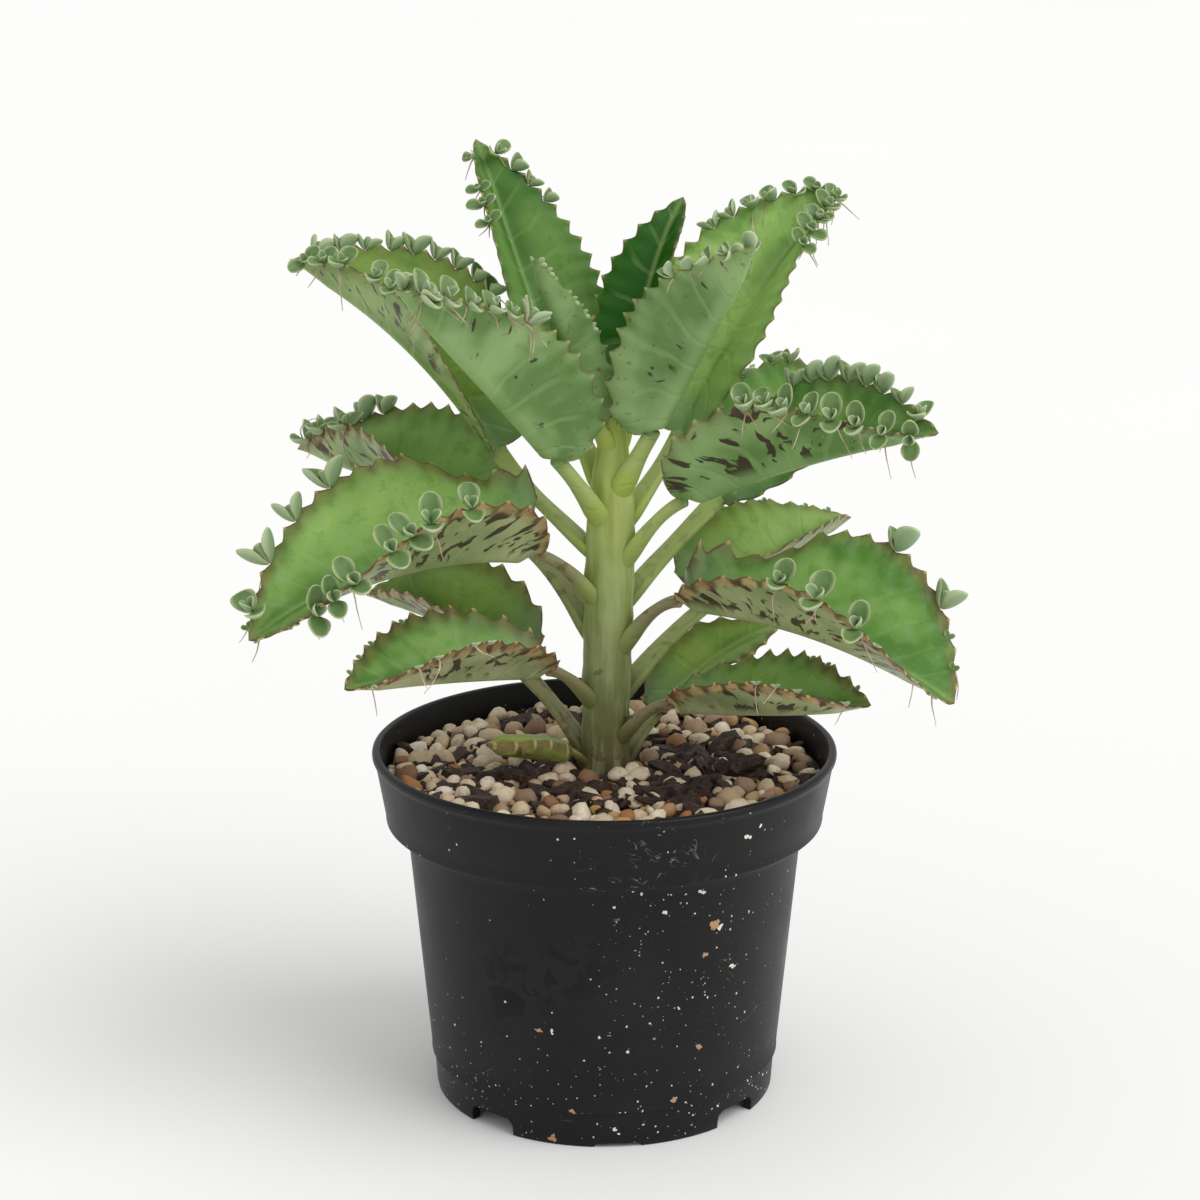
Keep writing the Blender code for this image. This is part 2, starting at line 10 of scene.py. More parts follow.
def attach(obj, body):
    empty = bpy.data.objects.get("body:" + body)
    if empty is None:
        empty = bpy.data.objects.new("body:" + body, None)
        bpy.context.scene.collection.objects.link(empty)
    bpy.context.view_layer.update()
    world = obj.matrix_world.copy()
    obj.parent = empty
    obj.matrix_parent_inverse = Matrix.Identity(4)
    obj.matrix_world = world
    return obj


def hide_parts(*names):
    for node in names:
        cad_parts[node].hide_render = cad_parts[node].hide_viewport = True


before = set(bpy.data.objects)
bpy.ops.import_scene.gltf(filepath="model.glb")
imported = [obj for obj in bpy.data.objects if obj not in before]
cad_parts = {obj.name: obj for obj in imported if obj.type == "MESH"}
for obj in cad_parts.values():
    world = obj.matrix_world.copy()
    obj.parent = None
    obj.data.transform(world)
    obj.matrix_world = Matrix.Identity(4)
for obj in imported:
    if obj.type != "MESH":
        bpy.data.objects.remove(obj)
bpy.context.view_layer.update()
print("frame loaded")

mm = 0.001
potAxis = np.array([1.25, 0.0, 0.0])    # where the pot's axis stands, in mm
soilTop = 84.6                          # height of the gravel bed, in mm


# ---------- helpers for meshes

def deselectAll():
    if bpy.context.object and bpy.context.object.mode != "OBJECT":
        bpy.ops.object.mode_set(mode="OBJECT")
    bpy.ops.object.select_all(action="DESELECT")


def pick(*objects):
    # select only these, the first one active
    deselectAll()
    for obj in objects:
        obj.select_set(True)
    bpy.context.view_layer.objects.active = objects[0]


def editAll():
    bpy.ops.object.mode_set(mode="EDIT")
    bpy.ops.mesh.select_all(action="SELECT")


def unit(v):
    return v / np.linalg.norm(v)


def setPoints(obj, points):
    # points in mm about the pot's axis
    flat = ((np.asarray(points) + potAxis) * mm).astype(np.float32).ravel()
    obj.data.vertices.foreach_set("co", flat)
    obj.data.update()


def setFloats(obj, name, values):
    layer = obj.data.attributes.new(name, "FLOAT", "POINT")
    layer.data.foreach_set("value", np.asarray(values, dtype=np.float32))


def meshFrom(name, points, faces, edges=()):
    mesh = bpy.data.meshes.new(name)
    moved = (np.asarray(points) + potAxis) * mm
    mesh.from_pydata(moved.tolist(), edges, faces)
    obj = bpy.data.objects.new(name, mesh)
    bpy.context.scene.collection.objects.link(obj)
    return obj


def meshOfMany(name, shapes, faces):
    # one mesh from many small shapes that all have the same faces
    size = len(shapes[0])
    allFaces = [tuple(i + k * size for i in face) for k in range(len(shapes)) for face in faces]
    return meshFrom(name, np.concatenate(shapes), allFaces)


def addGrid(name, rowCount, columnCount):
    # a flat grid, with the row and column of each of its points
    deselectAll()
    bpy.ops.mesh.primitive_grid_add(x_subdivisions=rowCount - 1, y_subdivisions=columnCount - 1, size=1)
    obj = bpy.context.object
    obj.name = obj.data.name = name
    flat = np.array([tuple(v.co) for v in obj.data.vertices]) + 0.5
    row = np.rint(flat[:, 0] * (rowCount - 1)).astype(int)
    column = np.rint(flat[:, 1] * (columnCount - 1)).astype(int)
    return obj, row, column


def closeAndSmooth(obj, angle=60, merge=0.0000001):
    pick(obj)
    editAll()
    bpy.ops.mesh.remove_doubles(threshold=merge)
    bpy.ops.mesh.normals_make_consistent(inside=False)
    bpy.ops.object.mode_set(mode="OBJECT")
    bpy.ops.object.shade_smooth_by_angle(angle=math.radians(angle))


def finishPiece(obj, material, slot, *nodes):
    obj.data.materials.clear()
    obj.data.materials.append(material)
    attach(obj, "root")
    if nodes:
        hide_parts(*nodes)


# ---------- helpers for materials

def linear(hexColour):
    # sRGB hex to the linear values that a shader wants
    parts = [int(hexColour[i:i + 2], 16) / 255 for i in (1, 3, 5)]
    return tuple(c / 12.92 if c <= 0.04045 else ((c + 0.055) / 1.055) ** 2.4 for c in parts) + (1.0,)


def addNode(tree, kind, settings=None, links=None):
    node = tree.nodes.new(kind)
    for name, value in (settings or {}).items():
        setattr(node, name, value)
    for name, value in (links or {}).items():
        if isinstance(value, bpy.types.NodeSocket):
            tree.links.new(value, node.inputs[name])
        else:
            node.inputs[name].default_value = value
    return node


def newMaterial(name, shaderValues):
    # the material and the object coordinates
    material = bpy.data.materials.new(name)
    material.use_nodes = True
    shader = material.node_tree.nodes["Principled BSDF"]
    for socket, value in shaderValues.items():
        shader.inputs[socket].default_value = value
    return material, addNode(material.node_tree, "ShaderNodeTexCoord").outputs["Object"]


def treeOf(*values):
    # the node tree that the first socket among these stands in
    return next(value.id_data for value in values if isinstance(value, bpy.types.NodeSocket))


def reading(place, name):
    return addNode(treeOf(place), "ShaderNodeAttribute", {"attribute_name": name}).outputs["Fac"]


def maths(operation, first, second=0.0):
    return addNode(treeOf(first, second), "ShaderNodeMath", {"operation": operation},
                   {0: first, 1: second}).outputs[0]


def times(value, *others):
    for other in others:
        value = maths("MULTIPLY", value, other)
    return value


def plus(value, *others):
    for other in others:
        value = maths("ADD", value, other)
    return value


def between(value, low, high, top=1.0, bottom=0.0, kind="SMOOTHSTEP"):
    # bottom at low, top at high
    return addNode(treeOf(value), "ShaderNodeMapRange", {"interpolation_type": kind}, {
        "Value": value, "From Min": low, "From Max": high, "To Min": bottom, "To Max": top}).outputs[0]


def noise(place, scale, detail=2.0, roughness=0.5, distortion=0.0, output="Fac"):
    return addNode(treeOf(place), "ShaderNodeTexNoise", None, {
        "Vector": place, "Scale": scale, "Detail": detail, "Roughness": roughness,
        "Distortion": distortion}).outputs[output]


def blend(factor, first, second):
    return addNode(treeOf(factor), "ShaderNodeMix", {"data_type": "RGBA"},
                   {0: factor, 6: first, 7: second}).outputs[2]


def paint(colours, first, *coats):
    # coats one over the other, each a mask and the name of its colour
    colour = linear(colours[first]) if isinstance(first, str) else first
    for mask, name in coats:
        colour = blend(mask, colour, linear(colours[name]))
    return colour


def ramp(value, stops):
    node = addNode(treeOf(value), "ShaderNodeValToRGB", None, {0: value})
    elements = node.color_ramp.elements
    while len(elements) < len(stops):
        elements.new(0.5)
    for element, (position, colour) in zip(elements, stops):
        element.position = position
        element.color = linear(colour)
    return node.outputs[0]


def connect(material, colour, height=None, strength=0.0, distance=0.0):
    # the finished colour and, where there is one, the bump
    tree = material.node_tree
    inputs = tree.nodes["Principled BSDF"].inputs
    tree.links.new(colour, inputs["Base Color"])
    if height is not None:
        bump = addNode(tree, "ShaderNodeBump", None,
                       {"Strength": strength, "Distance": distance, "Height": height})
        tree.links.new(bump.outputs[0], inputs["Normal"])
    return material


# ---------- materials

stemColours = {
    # the low colour is partly the older skin and partly painted shade at the stem's foot
    "top": "#b4c65e", "middle": "#86915a", "low": "#574c2e", "cork": "#54452f", "streak": "#b4bd8c",
    "lowZ": 0.083, "topZ": 0.178,    # the heights of the first and the last colour, in m
}


def stemTone(place):
    # the skin's colour by height over the soil, in the stem and at the roots of the leaf stalks; the dark low end
    # is partly older skin and partly painted shade under the lowest leaves
    c = stemColours
    split = addNode(treeOf(place), "ShaderNodeSeparateXYZ", None, {0: place})
    level = between(split.outputs["Z"], c["lowZ"], c["topZ"], kind="LINEAR")
    return level, ramp(level, [(0.0, c["low"]), (0.35, c["middle"]), (1.0, c["top"])])


# Leaf of a crassula-family succulent: thick waxy skin, satin, green above and grey-green below with
# purple-brown marks; the marks, age and side come from the leaf's own attributes.
leafColours = {
    "upper": "#598639", "upperLight": "#9cc267", "upperYoung": "#1e5802", "bloom": "#82a47c",
    "under": "#65864a", "underLight": "#8fad70", "underOld": "#cdbf9b", "mark": "#41302a",
    "margin": "#6e4f38", "oldMargin": "#c8ad78", "oldBrown": "#5e4232", "stalk": "#aabb70",
    "oldStalk": "#867860", "vein": "#9db56f", "yellow": "#96a247",
}
# spacing of the side veins in mm, noise scales, how strong each marking shows
leafLook = {
    "veinPitch": 8.0, "cloudScale": 65.0, "hazeScale": 260.0, "patchScale": 300.0, "dotScale": 620.0,
    "grainScale": 1200.0, "veinAbove": 0.15, "veinBelow": 0.35, "midrib": 0.4, "blots": 0.93,
    "blotsFew": 0.68, "blotsMany": 0.16, "breath": 0.62, "scorch": 0.8, "bump": 0.45, "bumpHeight": 0.0005,
}


def leafMaterial():
    material, place = newMaterial("waxyLeafSkin", {
        "Roughness": 0.4, "IOR": 1.45, "Specular IOR Level": 0.22, "Subsurface Weight": 0.06,
        "Subsurface Scale": 0.003, "Subsurface Radius": (0.6, 1.0, 0.3)})
    look = leafLook
    names = "Along Across Out Edge Under Tooth Age Marks Young Seed Share Pale Yellow Root Vein"
    (along, across, out, edge, under, tooth, age, marks, young, seed, share, pale, yellow, root,
     vein) = (reading(place, "leaf" + name) for name in names.split())
    clouds = noise(place, look["cloudScale"])    # about 15 mm wide
    haze = noise(place, look["hazeScale"], 4.0, 0.7)
    patch = noise(place, look["patchScale"])
    dots = noise(place, look["dotScale"], 1.0)
    # lighter in the middle of each half and in the clouds, darker to the tip, lighter on pale leaves: the clouds
    # are the skin's own tone, the rest partly its tone and partly painted light and shade
    inner = times(between(across, 0.05, 0.4), between(across, 0.98, 0.55))
    toneAndPaintedLight = plus(between(clouds, 0.3, 0.7, 0.6), times(inner, 0.6))
    toneAndPaintedLight = maths("SUBTRACT", toneAndPaintedLight, plus(between(share, 0.4, 0.95, 0.6), 0.05))
    toneAndPaintedLight = plus(toneAndPaintedLight, times(maths("SUBTRACT", pale, 0.5), 0.9))
    yellowing = times(yellow, plus(times(clouds, 0.8), 0.4))
    # side veins leave the midrib at a slant
    ripple = maths("SINE", times(plus(vein, times(clouds, 5.0)), 2 * math.pi / look["veinPitch"]))
    veins = times(between(ripple, 0.78, 1.0), between(across, 0.92, 0.5))
    upper = paint(
        leafColours, "upper", (toneAndPaintedLight, "upperLight"), (between(haze, 0.46, 0.68, 0.3), "bloom"),
        (between(haze, 0.5, 0.34, 0.35), "upper"), (young, "upperYoung"), (yellowing, "yellow"),
        (between(along, 16.0, 4.0, 0.6), "bloom"), (times(veins, look["veinAbove"]), "vein"),
        (between(out, 1.6, 0.0, look["midrib"]), "vein"))
    # blotches about 3 by 7 mm, drawn out along the side veins, that fade out over the keel
    flow = addNode(treeOf(place), "ShaderNodeCombineXYZ", None,
                   {"X": times(vein, 0.42), "Y": times(out, 0.17), "Z": seed}).outputs[0]
    need = maths("SUBTRACT", look["blotsFew"], times(marks, look["blotsMany"]))
    blots = between(noise(flow, 1.0, distortion=0.5), need, plus(need, 0.045))
    blots = times(between(out, 1.0, 4.5), look["blots"], blots)
    tired = times(between(age, 0.5, 1.0), plus(times(clouds, 0.9), -0.05))
    lower = paint(
        leafColours, "under", (between(clouds, 0.35, 0.68), "underLight"),
        (between(haze, 0.48, 0.75, 0.28), "bloom"), (times(veins, look["veinBelow"]), "underLight"),
        (between(out, 3.0, 0.5, 0.55), "underLight"), (yellowing, "yellow"), (tired, "underOld"),
        (blots, "mark"))
    # older leaves: tan scallops in the teeth and brown bars in the notches between them
    band = between(edge, 4.2, 2.4)
    scallop = times(band, between(tooth, 0.15, 0.5), between(age, 0.5, 1.0), plus(0.15, times(under, 0.75)))
    notch = times(band, between(tooth, 0.3, 0.05), between(age, 0.35, 1.0), plus(0.2, times(under, 0.6)))
    scorch = times(between(edge, 2.6, 0.3), age, between(patch, 0.52, 0.62), look["scorch"])
    # a brown breath along the margin, and flecks further in
    breath = times(between(clouds, 0.35, 0.6), age, between(edge, 5.5, 0.5), look["breath"])
    flecks = times(between(edge, 12.0, 2.0), 0.6, between(dots, 0.66, 0.72), plus(times(under, 0.7), 0.25))
    colour = paint(leafColours, blend(under, upper, lower), (scallop, "oldMargin"), (notch, "oldBrown"),
                   (scorch, "oldBrown"), (breath, "margin"), (flecks, "margin"))
    # a thin brown line on the edge, tan on the tooth tips
    thinLine = times(between(edge, 0.8, 0.2), plus(0.4, times(age, 0.5)))
    lineColour = paint(leafColours, "margin", (between(tooth, 0.7, 0.95), "oldMargin"))
    colour = blend(thinLine, colour, lineColour)
    # stalk, before the blade starts: older ones beige with brown freckles
    freckles = times(age, 0.55, between(patch, 0.55, 0.66))
    stalk = paint(leafColours, "stalk", (between(age, 0.3, 1.0, 0.85), "oldStalk"), (freckles, "mark"))
    # the stalk's root takes the stem's colour, with its painted shade low down
    stalk = blend(root, stalk, stemTone(place)[1])
    colour = blend(between(along, 2.0, -4.0), colour, stalk)
    height = plus(times(noise(place, look["grainScale"]), 0.2), times(veins, -0.5))
    return connect(material, colour, height, look["bump"], look["bumpHeight"])


# Plantlet leaflets: thin powdery wax over green, dark inside the cup (darker green of the hollow side with painted
# shade in the hollow), pale blue-green outside, cream rim.
plantletColours = {"inside": "#4f6f3a", "insideLight": "#78955a", "outside": "#93ab82", "rim": "#cdd0a4"}


def plantletMaterial():
    material, place = newMaterial("powderyPlantletSkin", {
        "Roughness": 0.5, "IOR": 1.45, "Specular IOR Level": 0.4, "Subsurface Weight": 0.15,
        "Subsurface Scale": 0.002, "Subsurface Radius": (0.6, 1.0, 0.4)})
    inside = paint(plantletColours, "inside", (noise(place, 420.0), "insideLight"))
    # the hollow side is darker: its own green and painted shade in the cup
    body = blend(reading(place, "leafletInside"), linear(plantletColours["outside"]), inside)
    rim = between(reading(place, "leafletRim"), 0.6, 1.0, 0.62, kind="LINEAR")
    return connect(material, paint(plantletColours, body, (rim, "rim")), noise(place, 1600.0), 0.2, 0.0002)


# Aerial roots: dry pinkish-tan threads, matt.
def rootMaterial():
    material, place = newMaterial("dryAerialRoot", {"Roughness": 0.75, "Specular IOR Level": 0.25})
    return connect(material, ramp(noise(place, 260.0), [(0.35, "#a88a72"), (0.65, "#d4c1a2")]))


# Stem: smooth waxy green skin, pale at the top, olive and corky towards the soil; the darkening towards the soil
# is partly painted shade under the lowest leaves.
def stemMaterial():
    material, place = newMaterial("waxyStemSkin", {
        "Roughness": 0.45, "IOR": 1.45, "Specular IOR Level": 0.4, "Subsurface Weight": 0.1,
        "Subsurface Scale": 0.003})
    level, base = stemTone(place)
    # long fibres: noise drawn out eight times along the height
    drawn = addNode(treeOf(place), "ShaderNodeMapping", None, {"Vector": place, "Scale": (1.0, 1.0, 0.12)})
    fibres = noise(drawn.outputs[0], 420.0, 3.0)
    corky = maths("GREATER_THAN", noise(place, 240.0, 4.0), between(level, 0.0, 0.55, 0.74, 0.60, "LINEAR"))
    colour = paint(stemColours, base, (between(fibres, 0.45, 0.7, 0.5, kind="LINEAR"), "streak"),
                   (between(fibres, 0.48, 0.34, 0.25, kind="LINEAR"), "low"), (times(corky, 0.55), "cork"))
    return connect(material, colour, fibres, 0.2, 0.0003)


# Polypropylene nursery pot, injection moulded, black: satin skin with a fine grain, grit specks that
# gather low down and to the right of the front, rubbed smudges and pale hair scratches.
potColours = {"plastic": "#121212", "worn": "#202021", "smudge": "#020202", "speck": "#e0dacd",
              "clay": "#b08a68", "scratch": "#a5a5a3"}
# centre on the front and reach, in mm
potMarks = {"printLeft": ((-22, -41, 43), 17), "printRight": ((-7, -47, 51), 15),
            "grit": ((24, -48, 52), 44), "scuff": ((11, -57, 82), 24)}
# cells per metre, size within the cell, share, colour
potSpecks = ((300.0, 0.10, 1.0, "speck"), (160.0, 0.07, 0.6, "clay"), (520.0, 0.12, 1.3, "speck"),
             (190.0, 0.075, 0.6, "speck"), (700.0, 0.13, 0.9, "scratch"))
# x and height in mm on the front of the pot, size in mm, colour
potCrumbs = (
    (28.4, 59, 1.25, "clay"), (30.0, 58.2, 0.7, "speck"), (25.2, 69, 0.6, "speck"), (16.2, 65, 0.6, "speck"),
    (26.0, 51.6, 0.6, "clay"), (25.1, 25.7, 0.75, "clay"), (19.2, 12, 0.7, "clay"), (-11.8, 1.8, 0.9, "clay"),
    (-11.5, 32, 0.6, "speck"), (-15.2, 32, 0.55, "clay"), (3.6, 5, 0.6, "speck"), (-7.0, 10, 0.55, "clay"),
    (33.5, 46, 0.5, "speck"), (36, 84, 0.65, "speck"), (39, 86, 0.6, "speck"))


def potMaterial():
    material, place = newMaterial("blackPolypropylene", {"IOR": 1.49, "Specular IOR Level": 0.21})
    tree = material.node_tree
    split = addNode(tree, "ShaderNodeSeparateXYZ", None, {0: place}).outputs

    def distance(where, point):
        return addNode(tree, "ShaderNodeVectorMath", {"operation": "DISTANCE"},
                       {0: where, 1: point}).outputs["Value"]

    def shaken(where, scale, reach):
        # moved about by a noise, for ragged outlines
        shake = noise(place, scale, output="Color")
        return addNode(tree, "ShaderNodeVectorMath", {"operation": "MULTIPLY_ADD"},
                       {0: shake, 1: reach, 2: where}).outputs[0]

    def around(name):
        # 1 at the mark's centre, falling to 0 at its reach
        centre, reach = potMarks[name]
        return between(distance(place, [v * mm for v in centre]), reach * mm, reach * 0.2 * mm)

    smudge = noise(place, 34.0, 5.0, 0.6)
    # finger marks on the left of the front: dark blurred bars
    bars = between(noise(place, 170.0, 1.5, distortion=1.1), 0.5, 0.58)
    prints = plus(around("printLeft"), times(around("printRight"), 0.7))
    colour = paint(potColours, "plastic", (between(smudge, 0.42, 0.72, 0.6), "worn"),
                   (times(bars, prints, 0.95), "smudge"))
    # where grit lies: low down, right of the front, and a little all over
    low = between(split["Z"], 0.036, 0.004, 0.55)
    right = times(around("grit"), 0.42)
    dense = times(plus(low, right, 0.06), between(noise(place, 55.0), 0.3, 0.65, 1.5))
    gritPlace = shaken(place, 1900.0, (0.0006, 0.0006, 0.0006))
    for scale, size, share, tint in potSpecks:
        cells = addNode(tree, "ShaderNodeTexVoronoi", None, {"Vector": gritPlace, "Scale": scale})
        cut = addNode(tree, "ShaderNodeSeparateColor", None, {0: cells.outputs["Color"]})
        # each speck has a size of its own
        near = maths("LESS_THAN", cells.outputs["Distance"], times(plus(times(cut.outputs[1], 0.9), 0.35), size))
        some = maths("LESS_THAN", cut.outputs[0], times(dense, share))
        colour = paint(potColours, colour, (times(near, some, 0.9), tint))
    # bigger crumbs that stick to the front, each at its own place
    flatPlace = addNode(tree, "ShaderNodeCombineXYZ", None, {"X": split["X"], "Z": split["Z"]}).outputs[0]
    ragX, ragZ = 0.004, 0.0022
    ragged = shaken(flatPlace, 700.0, (ragX, 0.0, ragZ))
    front = maths("LESS_THAN", split["Y"])
    for x, z, size, tint in potCrumbs:
        gap = distance(ragged, (x * mm + ragX / 2, 0.0, z * mm + ragZ / 2))
        colour = paint(potColours, colour, (times(maths("LESS_THAN", gap, size * mm), front), tint))
    # hair scratches follow the middle value of a warped noise, where a second noise lets them show
    gap = maths("ABSOLUTE", maths("SUBTRACT", noise(place, 70.0, distortion=2.2), 0.5))
    where = noise(place, 95.0)
    shown = plus(times(around("scuff"), between(where, 0.40, 0.6), 0.4), between(where, 0.62, 0.70, 0.3))
    scratch = times(shown, between(noise(place, 330.0), 0.48, 0.58), between(gap, 0.008, 0.002))
    colour = paint(potColours, colour, (scratch, "scratch"))
    roughness = between(smudge, 0.3, 0.7, 0.5, 0.34, "LINEAR")
    tree.links.new(roughness, tree.nodes["Principled BSDF"].inputs["Roughness"])
    return connect(material, colour, noise(place, 1700.0), 0.25, 0.0002)


# River gravel and pumice: tumbled stone, matt, each stone its own tone from cream to rust.
stoneColours = ((0.0, "#f1e9dc"), (0.16, "#cdb594"), (0.34, "#e9dcc6"), (0.48, "#b79a76"), (0.62, "#dccdb4"),
                (0.74, "#b98a54"), (0.84, "#a58d78"), (0.92, "#7d6250"), (1.0, "#a87244"))


def stoneMaterial():
    material, place = newMaterial("tumbledGravel", {"Roughness": 0.72, "Specular IOR Level": 0.35})
    pits = noise(place, 620.0, 4.0, 0.65)
    stain = between(pits, 0.52, 0.72, 0.55, kind="LINEAR")
    colour = blend(stain, ramp(reading(place, "stoneTone"), stoneColours), linear("#8d6b4c"))
    return connect(material, colour, pits, 0.5, 0.0006)


# Composted bark: torn dark brown fibres, matt with damp glints.
def barkMaterial():
    material, place = newMaterial("compostedBark", {"Roughness": 0.7, "Specular IOR Level": 0.4})
    fibres = noise(place, 480.0, 5.0, 0.7)
    return connect(material, ramp(fibres, [(0.35, "#1f1612"), (0.55, "#3d2b22"), (0.72, "#6b5040")]), fibres, 0.8, 0.0008)


leafSkin = leafMaterial()
plantletSkin = plantletMaterial()
rootSkin = rootMaterial()
stemSkin = stemMaterial()
potPlastic = potMaterial()
gravelStone = stoneMaterial()
barkFibre = barkMaterial()
print("materials ready")


# ---------- pot

potShape = {
    "rimRadius": 60.0, "height": 92.4, "collarLowZ": 73.6, "collarLowRadius": 56.6, "bodyTopRadius": 51.2,
    "seamZ": 10.0, "seamRadius": 45.6, "footRadius": 44.5, "wall": 1.3, "bead": 0.9, "floorZ": 5.0,
    "floorThick": 1.4, "steps": 144, "footTurn": 4.5, "archWidth": 14.0, "archHeight": 4.6, "archSoft": 2.2,
    "nickWidth": 12.0, "nickHeight": 1.1, "nickSoft": 0.5, "cutDeep": 9.0, "drainRadius": 5.0, "drainRing": 27.0,
}


def innerRadius(z):
    p = potShape
    if z > p["collarLowZ"]:
        share = (z - p["collarLowZ"]) / (p["height"] - p["collarLowZ"])
        return p["collarLowRadius"] + (p["rimRadius"] - p["bead"] - p["collarLowRadius"]) * share - p["wall"]
    share = (z - p["seamZ"]) / (p["collarLowZ"] - p["seamZ"])
    return p["seamRadius"] + (p["bodyTopRadius"] - p["seamRadius"]) * share - p["wall"]


def potProfile():
    # radius and height, from the axis under the floor, up the outside and down the inside
    p = potShape
    foot, seam, seamZ, rim, floorZ = p["footRadius"], p["seamRadius"], p["seamZ"], p["rimRadius"], p["floorZ"]
    collarZ, collar, top, body = p["collarLowZ"], p["collarLowRadius"], p["height"], p["bodyTopRadius"]
    outer = rim - p["bead"]
    footIn = foot - 2 * p["wall"]
    points = [(0, floorZ), (footIn - 1.2, floorZ), (footIn - 0.3, floorZ - 0.3), (footIn, floorZ - 1.2),
              (footIn, 0.3), (footIn + 0.3, 0), (foot - 0.3, 0), (foot, 0.35)]
    points += [(foot + (seam - 0.5 - foot) * t, 0.35 + (seamZ - 0.95) * t) for t in (0.25, 0.5, 0.75, 1.0)]
    points += [(seam - 0.35, seamZ - 0.45), (seam + 0.05, seamZ - 0.3), (seam + 0.2, seamZ - 0.1),
               (seam + 0.2, seamZ + 0.15), (seam + 0.08, seamZ + 0.4)]
    points += [(seam + 0.08 + (body - seam - 0.08) * t, seamZ + 0.4 + (collarZ - 3.4 - seamZ) * t)
               for t in (0.1, 0.25, 0.4, 0.55, 0.7, 0.85, 0.97)]
    points += [(body + 0.25, collarZ - 1.9), (body + 1.0, collarZ - 1.1), (body + 2.4, collarZ - 0.6),
               (collar - 1.0, collarZ - 0.35), (collar - 0.35, collarZ - 0.2), (collar, collarZ + 0.15),
               (collar + 0.12, collarZ + 0.7), (collar + 0.05, collarZ + 1.3)]
    points += [(collar + 0.05 + (outer - collar - 0.05) * t, collarZ + 1.3 + (top - 3.4 - collarZ - 1.3) * t)
               for t in (0.2, 0.5, 0.8, 1.0)]
    points += [(outer + 0.12, top - 2.7), (outer + 0.55, top - 2.2), (rim - 0.08, top - 1.7), (rim, top - 1.1),
               (rim - 0.12, top - 0.5), (rim - 0.5, top - 0.12), (rim - 1.0, top)]
    inner = innerRadius(top)
    points += [(inner + 0.7, top - 0.02), (inner + 0.25, top - 0.25), (inner, top - 0.8)]
    points += [(innerRadius(z), z) for z in (top - 5, top - 10, collarZ + 2.0)]
    points += [(innerRadius(collarZ + 1.0) - 0.4, collarZ + 0.9), (innerRadius(collarZ - 2) + 0.5, collarZ - 1.4),
               (innerRadius(collarZ - 3), collarZ - 3)]
    points += [(innerRadius(z), z) for z in (50, 25)]
    floorTop = floorZ + p["floorThick"]
    inner = innerRadius(floorTop)
    return points + [(inner, floorTop + 1.0), (inner - 1.0, floorTop), (0, floorTop)]


def onPot(radius, degrees, z):
    # a place in metres at this radius, angle and height in mm
    a = math.radians(degrees)
    return (potAxis[0] + radius * math.cos(a)) * mm, radius * math.sin(a) * mm, z * mm


def applyModifier(obj, kind, **settings):
    pick(obj)
    bpy.ops.object.modifier_add(type=kind)
    modifier = obj.modifiers[-1]
    for name, value in settings.items():
        setattr(modifier, name, value)
    bpy.ops.object.modifier_apply(modifier=modifier.name)


def roundedCutter(degrees, width, height, soft):
    # a box with all its edges rounded, across the foot ring
    p = potShape
    deselectAll()
    bpy.ops.mesh.primitive_cube_add(
        size=1, location=onPot(p["footRadius"], degrees - 90, 0), rotation=(0, 0, math.radians(degrees)),
        scale=(width * mm, p["cutDeep"] * mm, 2 * height * mm))
    cutter = bpy.context.object
    bpy.ops.object.transform_apply(location=True, rotation=True, scale=True)
    applyModifier(cutter, "BEVEL", width=soft * mm, segments=4)
    return cutter


def makePot():
    p = potShape
    profile = potProfile()
    pot = meshFrom("nurseryPot", [(r, 0, z) for r, z in profile], [],
                   [(i, i + 1) for i in range(len(profile) - 1)])
    pick(pot)
    editAll()
    bpy.ops.mesh.spin(steps=p["steps"], angle=2 * math.pi, center=(potAxis[0] * mm, 0, 0), axis=(0, 0, 1))
    bpy.ops.mesh.select_all(action="SELECT")
    bpy.ops.mesh.remove_doubles(threshold=0.00002)
    bpy.ops.mesh.normals_make_consistent(inside=False)
    bpy.ops.object.mode_set(mode="OBJECT")
    cutters = []
    for i in range(4):
        turn = p["footTurn"] + 90 * i
        cutters.append(roundedCutter(turn, p["nickWidth"], p["nickHeight"], p["nickSoft"]))
        cutters.append(roundedCutter(turn + 45, p["archWidth"], p["archHeight"], p["archSoft"]))
        deselectAll()
        bpy.ops.mesh.primitive_cylinder_add(vertices=48, radius=p["drainRadius"] * mm, depth=0.006,
                                            location=onPot(p["drainRing"], turn, p["floorZ"]))
        bpy.ops.object.transform_apply(location=True)
        cutters.append(bpy.context.object)
    pick(*cutters)
    bpy.ops.object.join()
    cutter = bpy.context.object
    applyModifier(pot, "BOOLEAN", operation="DIFFERENCE", solver="EXACT", object=cutter)
    bpy.data.objects.remove(cutter, do_unlink=True)
    pick(pot)
    bpy.ops.object.shade_smooth_by_angle(angle=math.radians(38))
    finishPiece(pot, potPlastic, "pot_plastic", "pot")


makePot()
print("pot made")


# ---------- gravel, bark and soil

gravelShape = {
    "big": 300, "bigMin": 2.0, "bigMax": 3.9, "small": 420, "smallMin": 1.0, "smallMax": 1.9, "smallSink": 0.9,
    "chips": 520, "chipMin": 1.2, "chipMax": 4.8, "touch": 0.9, "heap": 1.7, "stemGap": 6.4, "seed": 7,
}
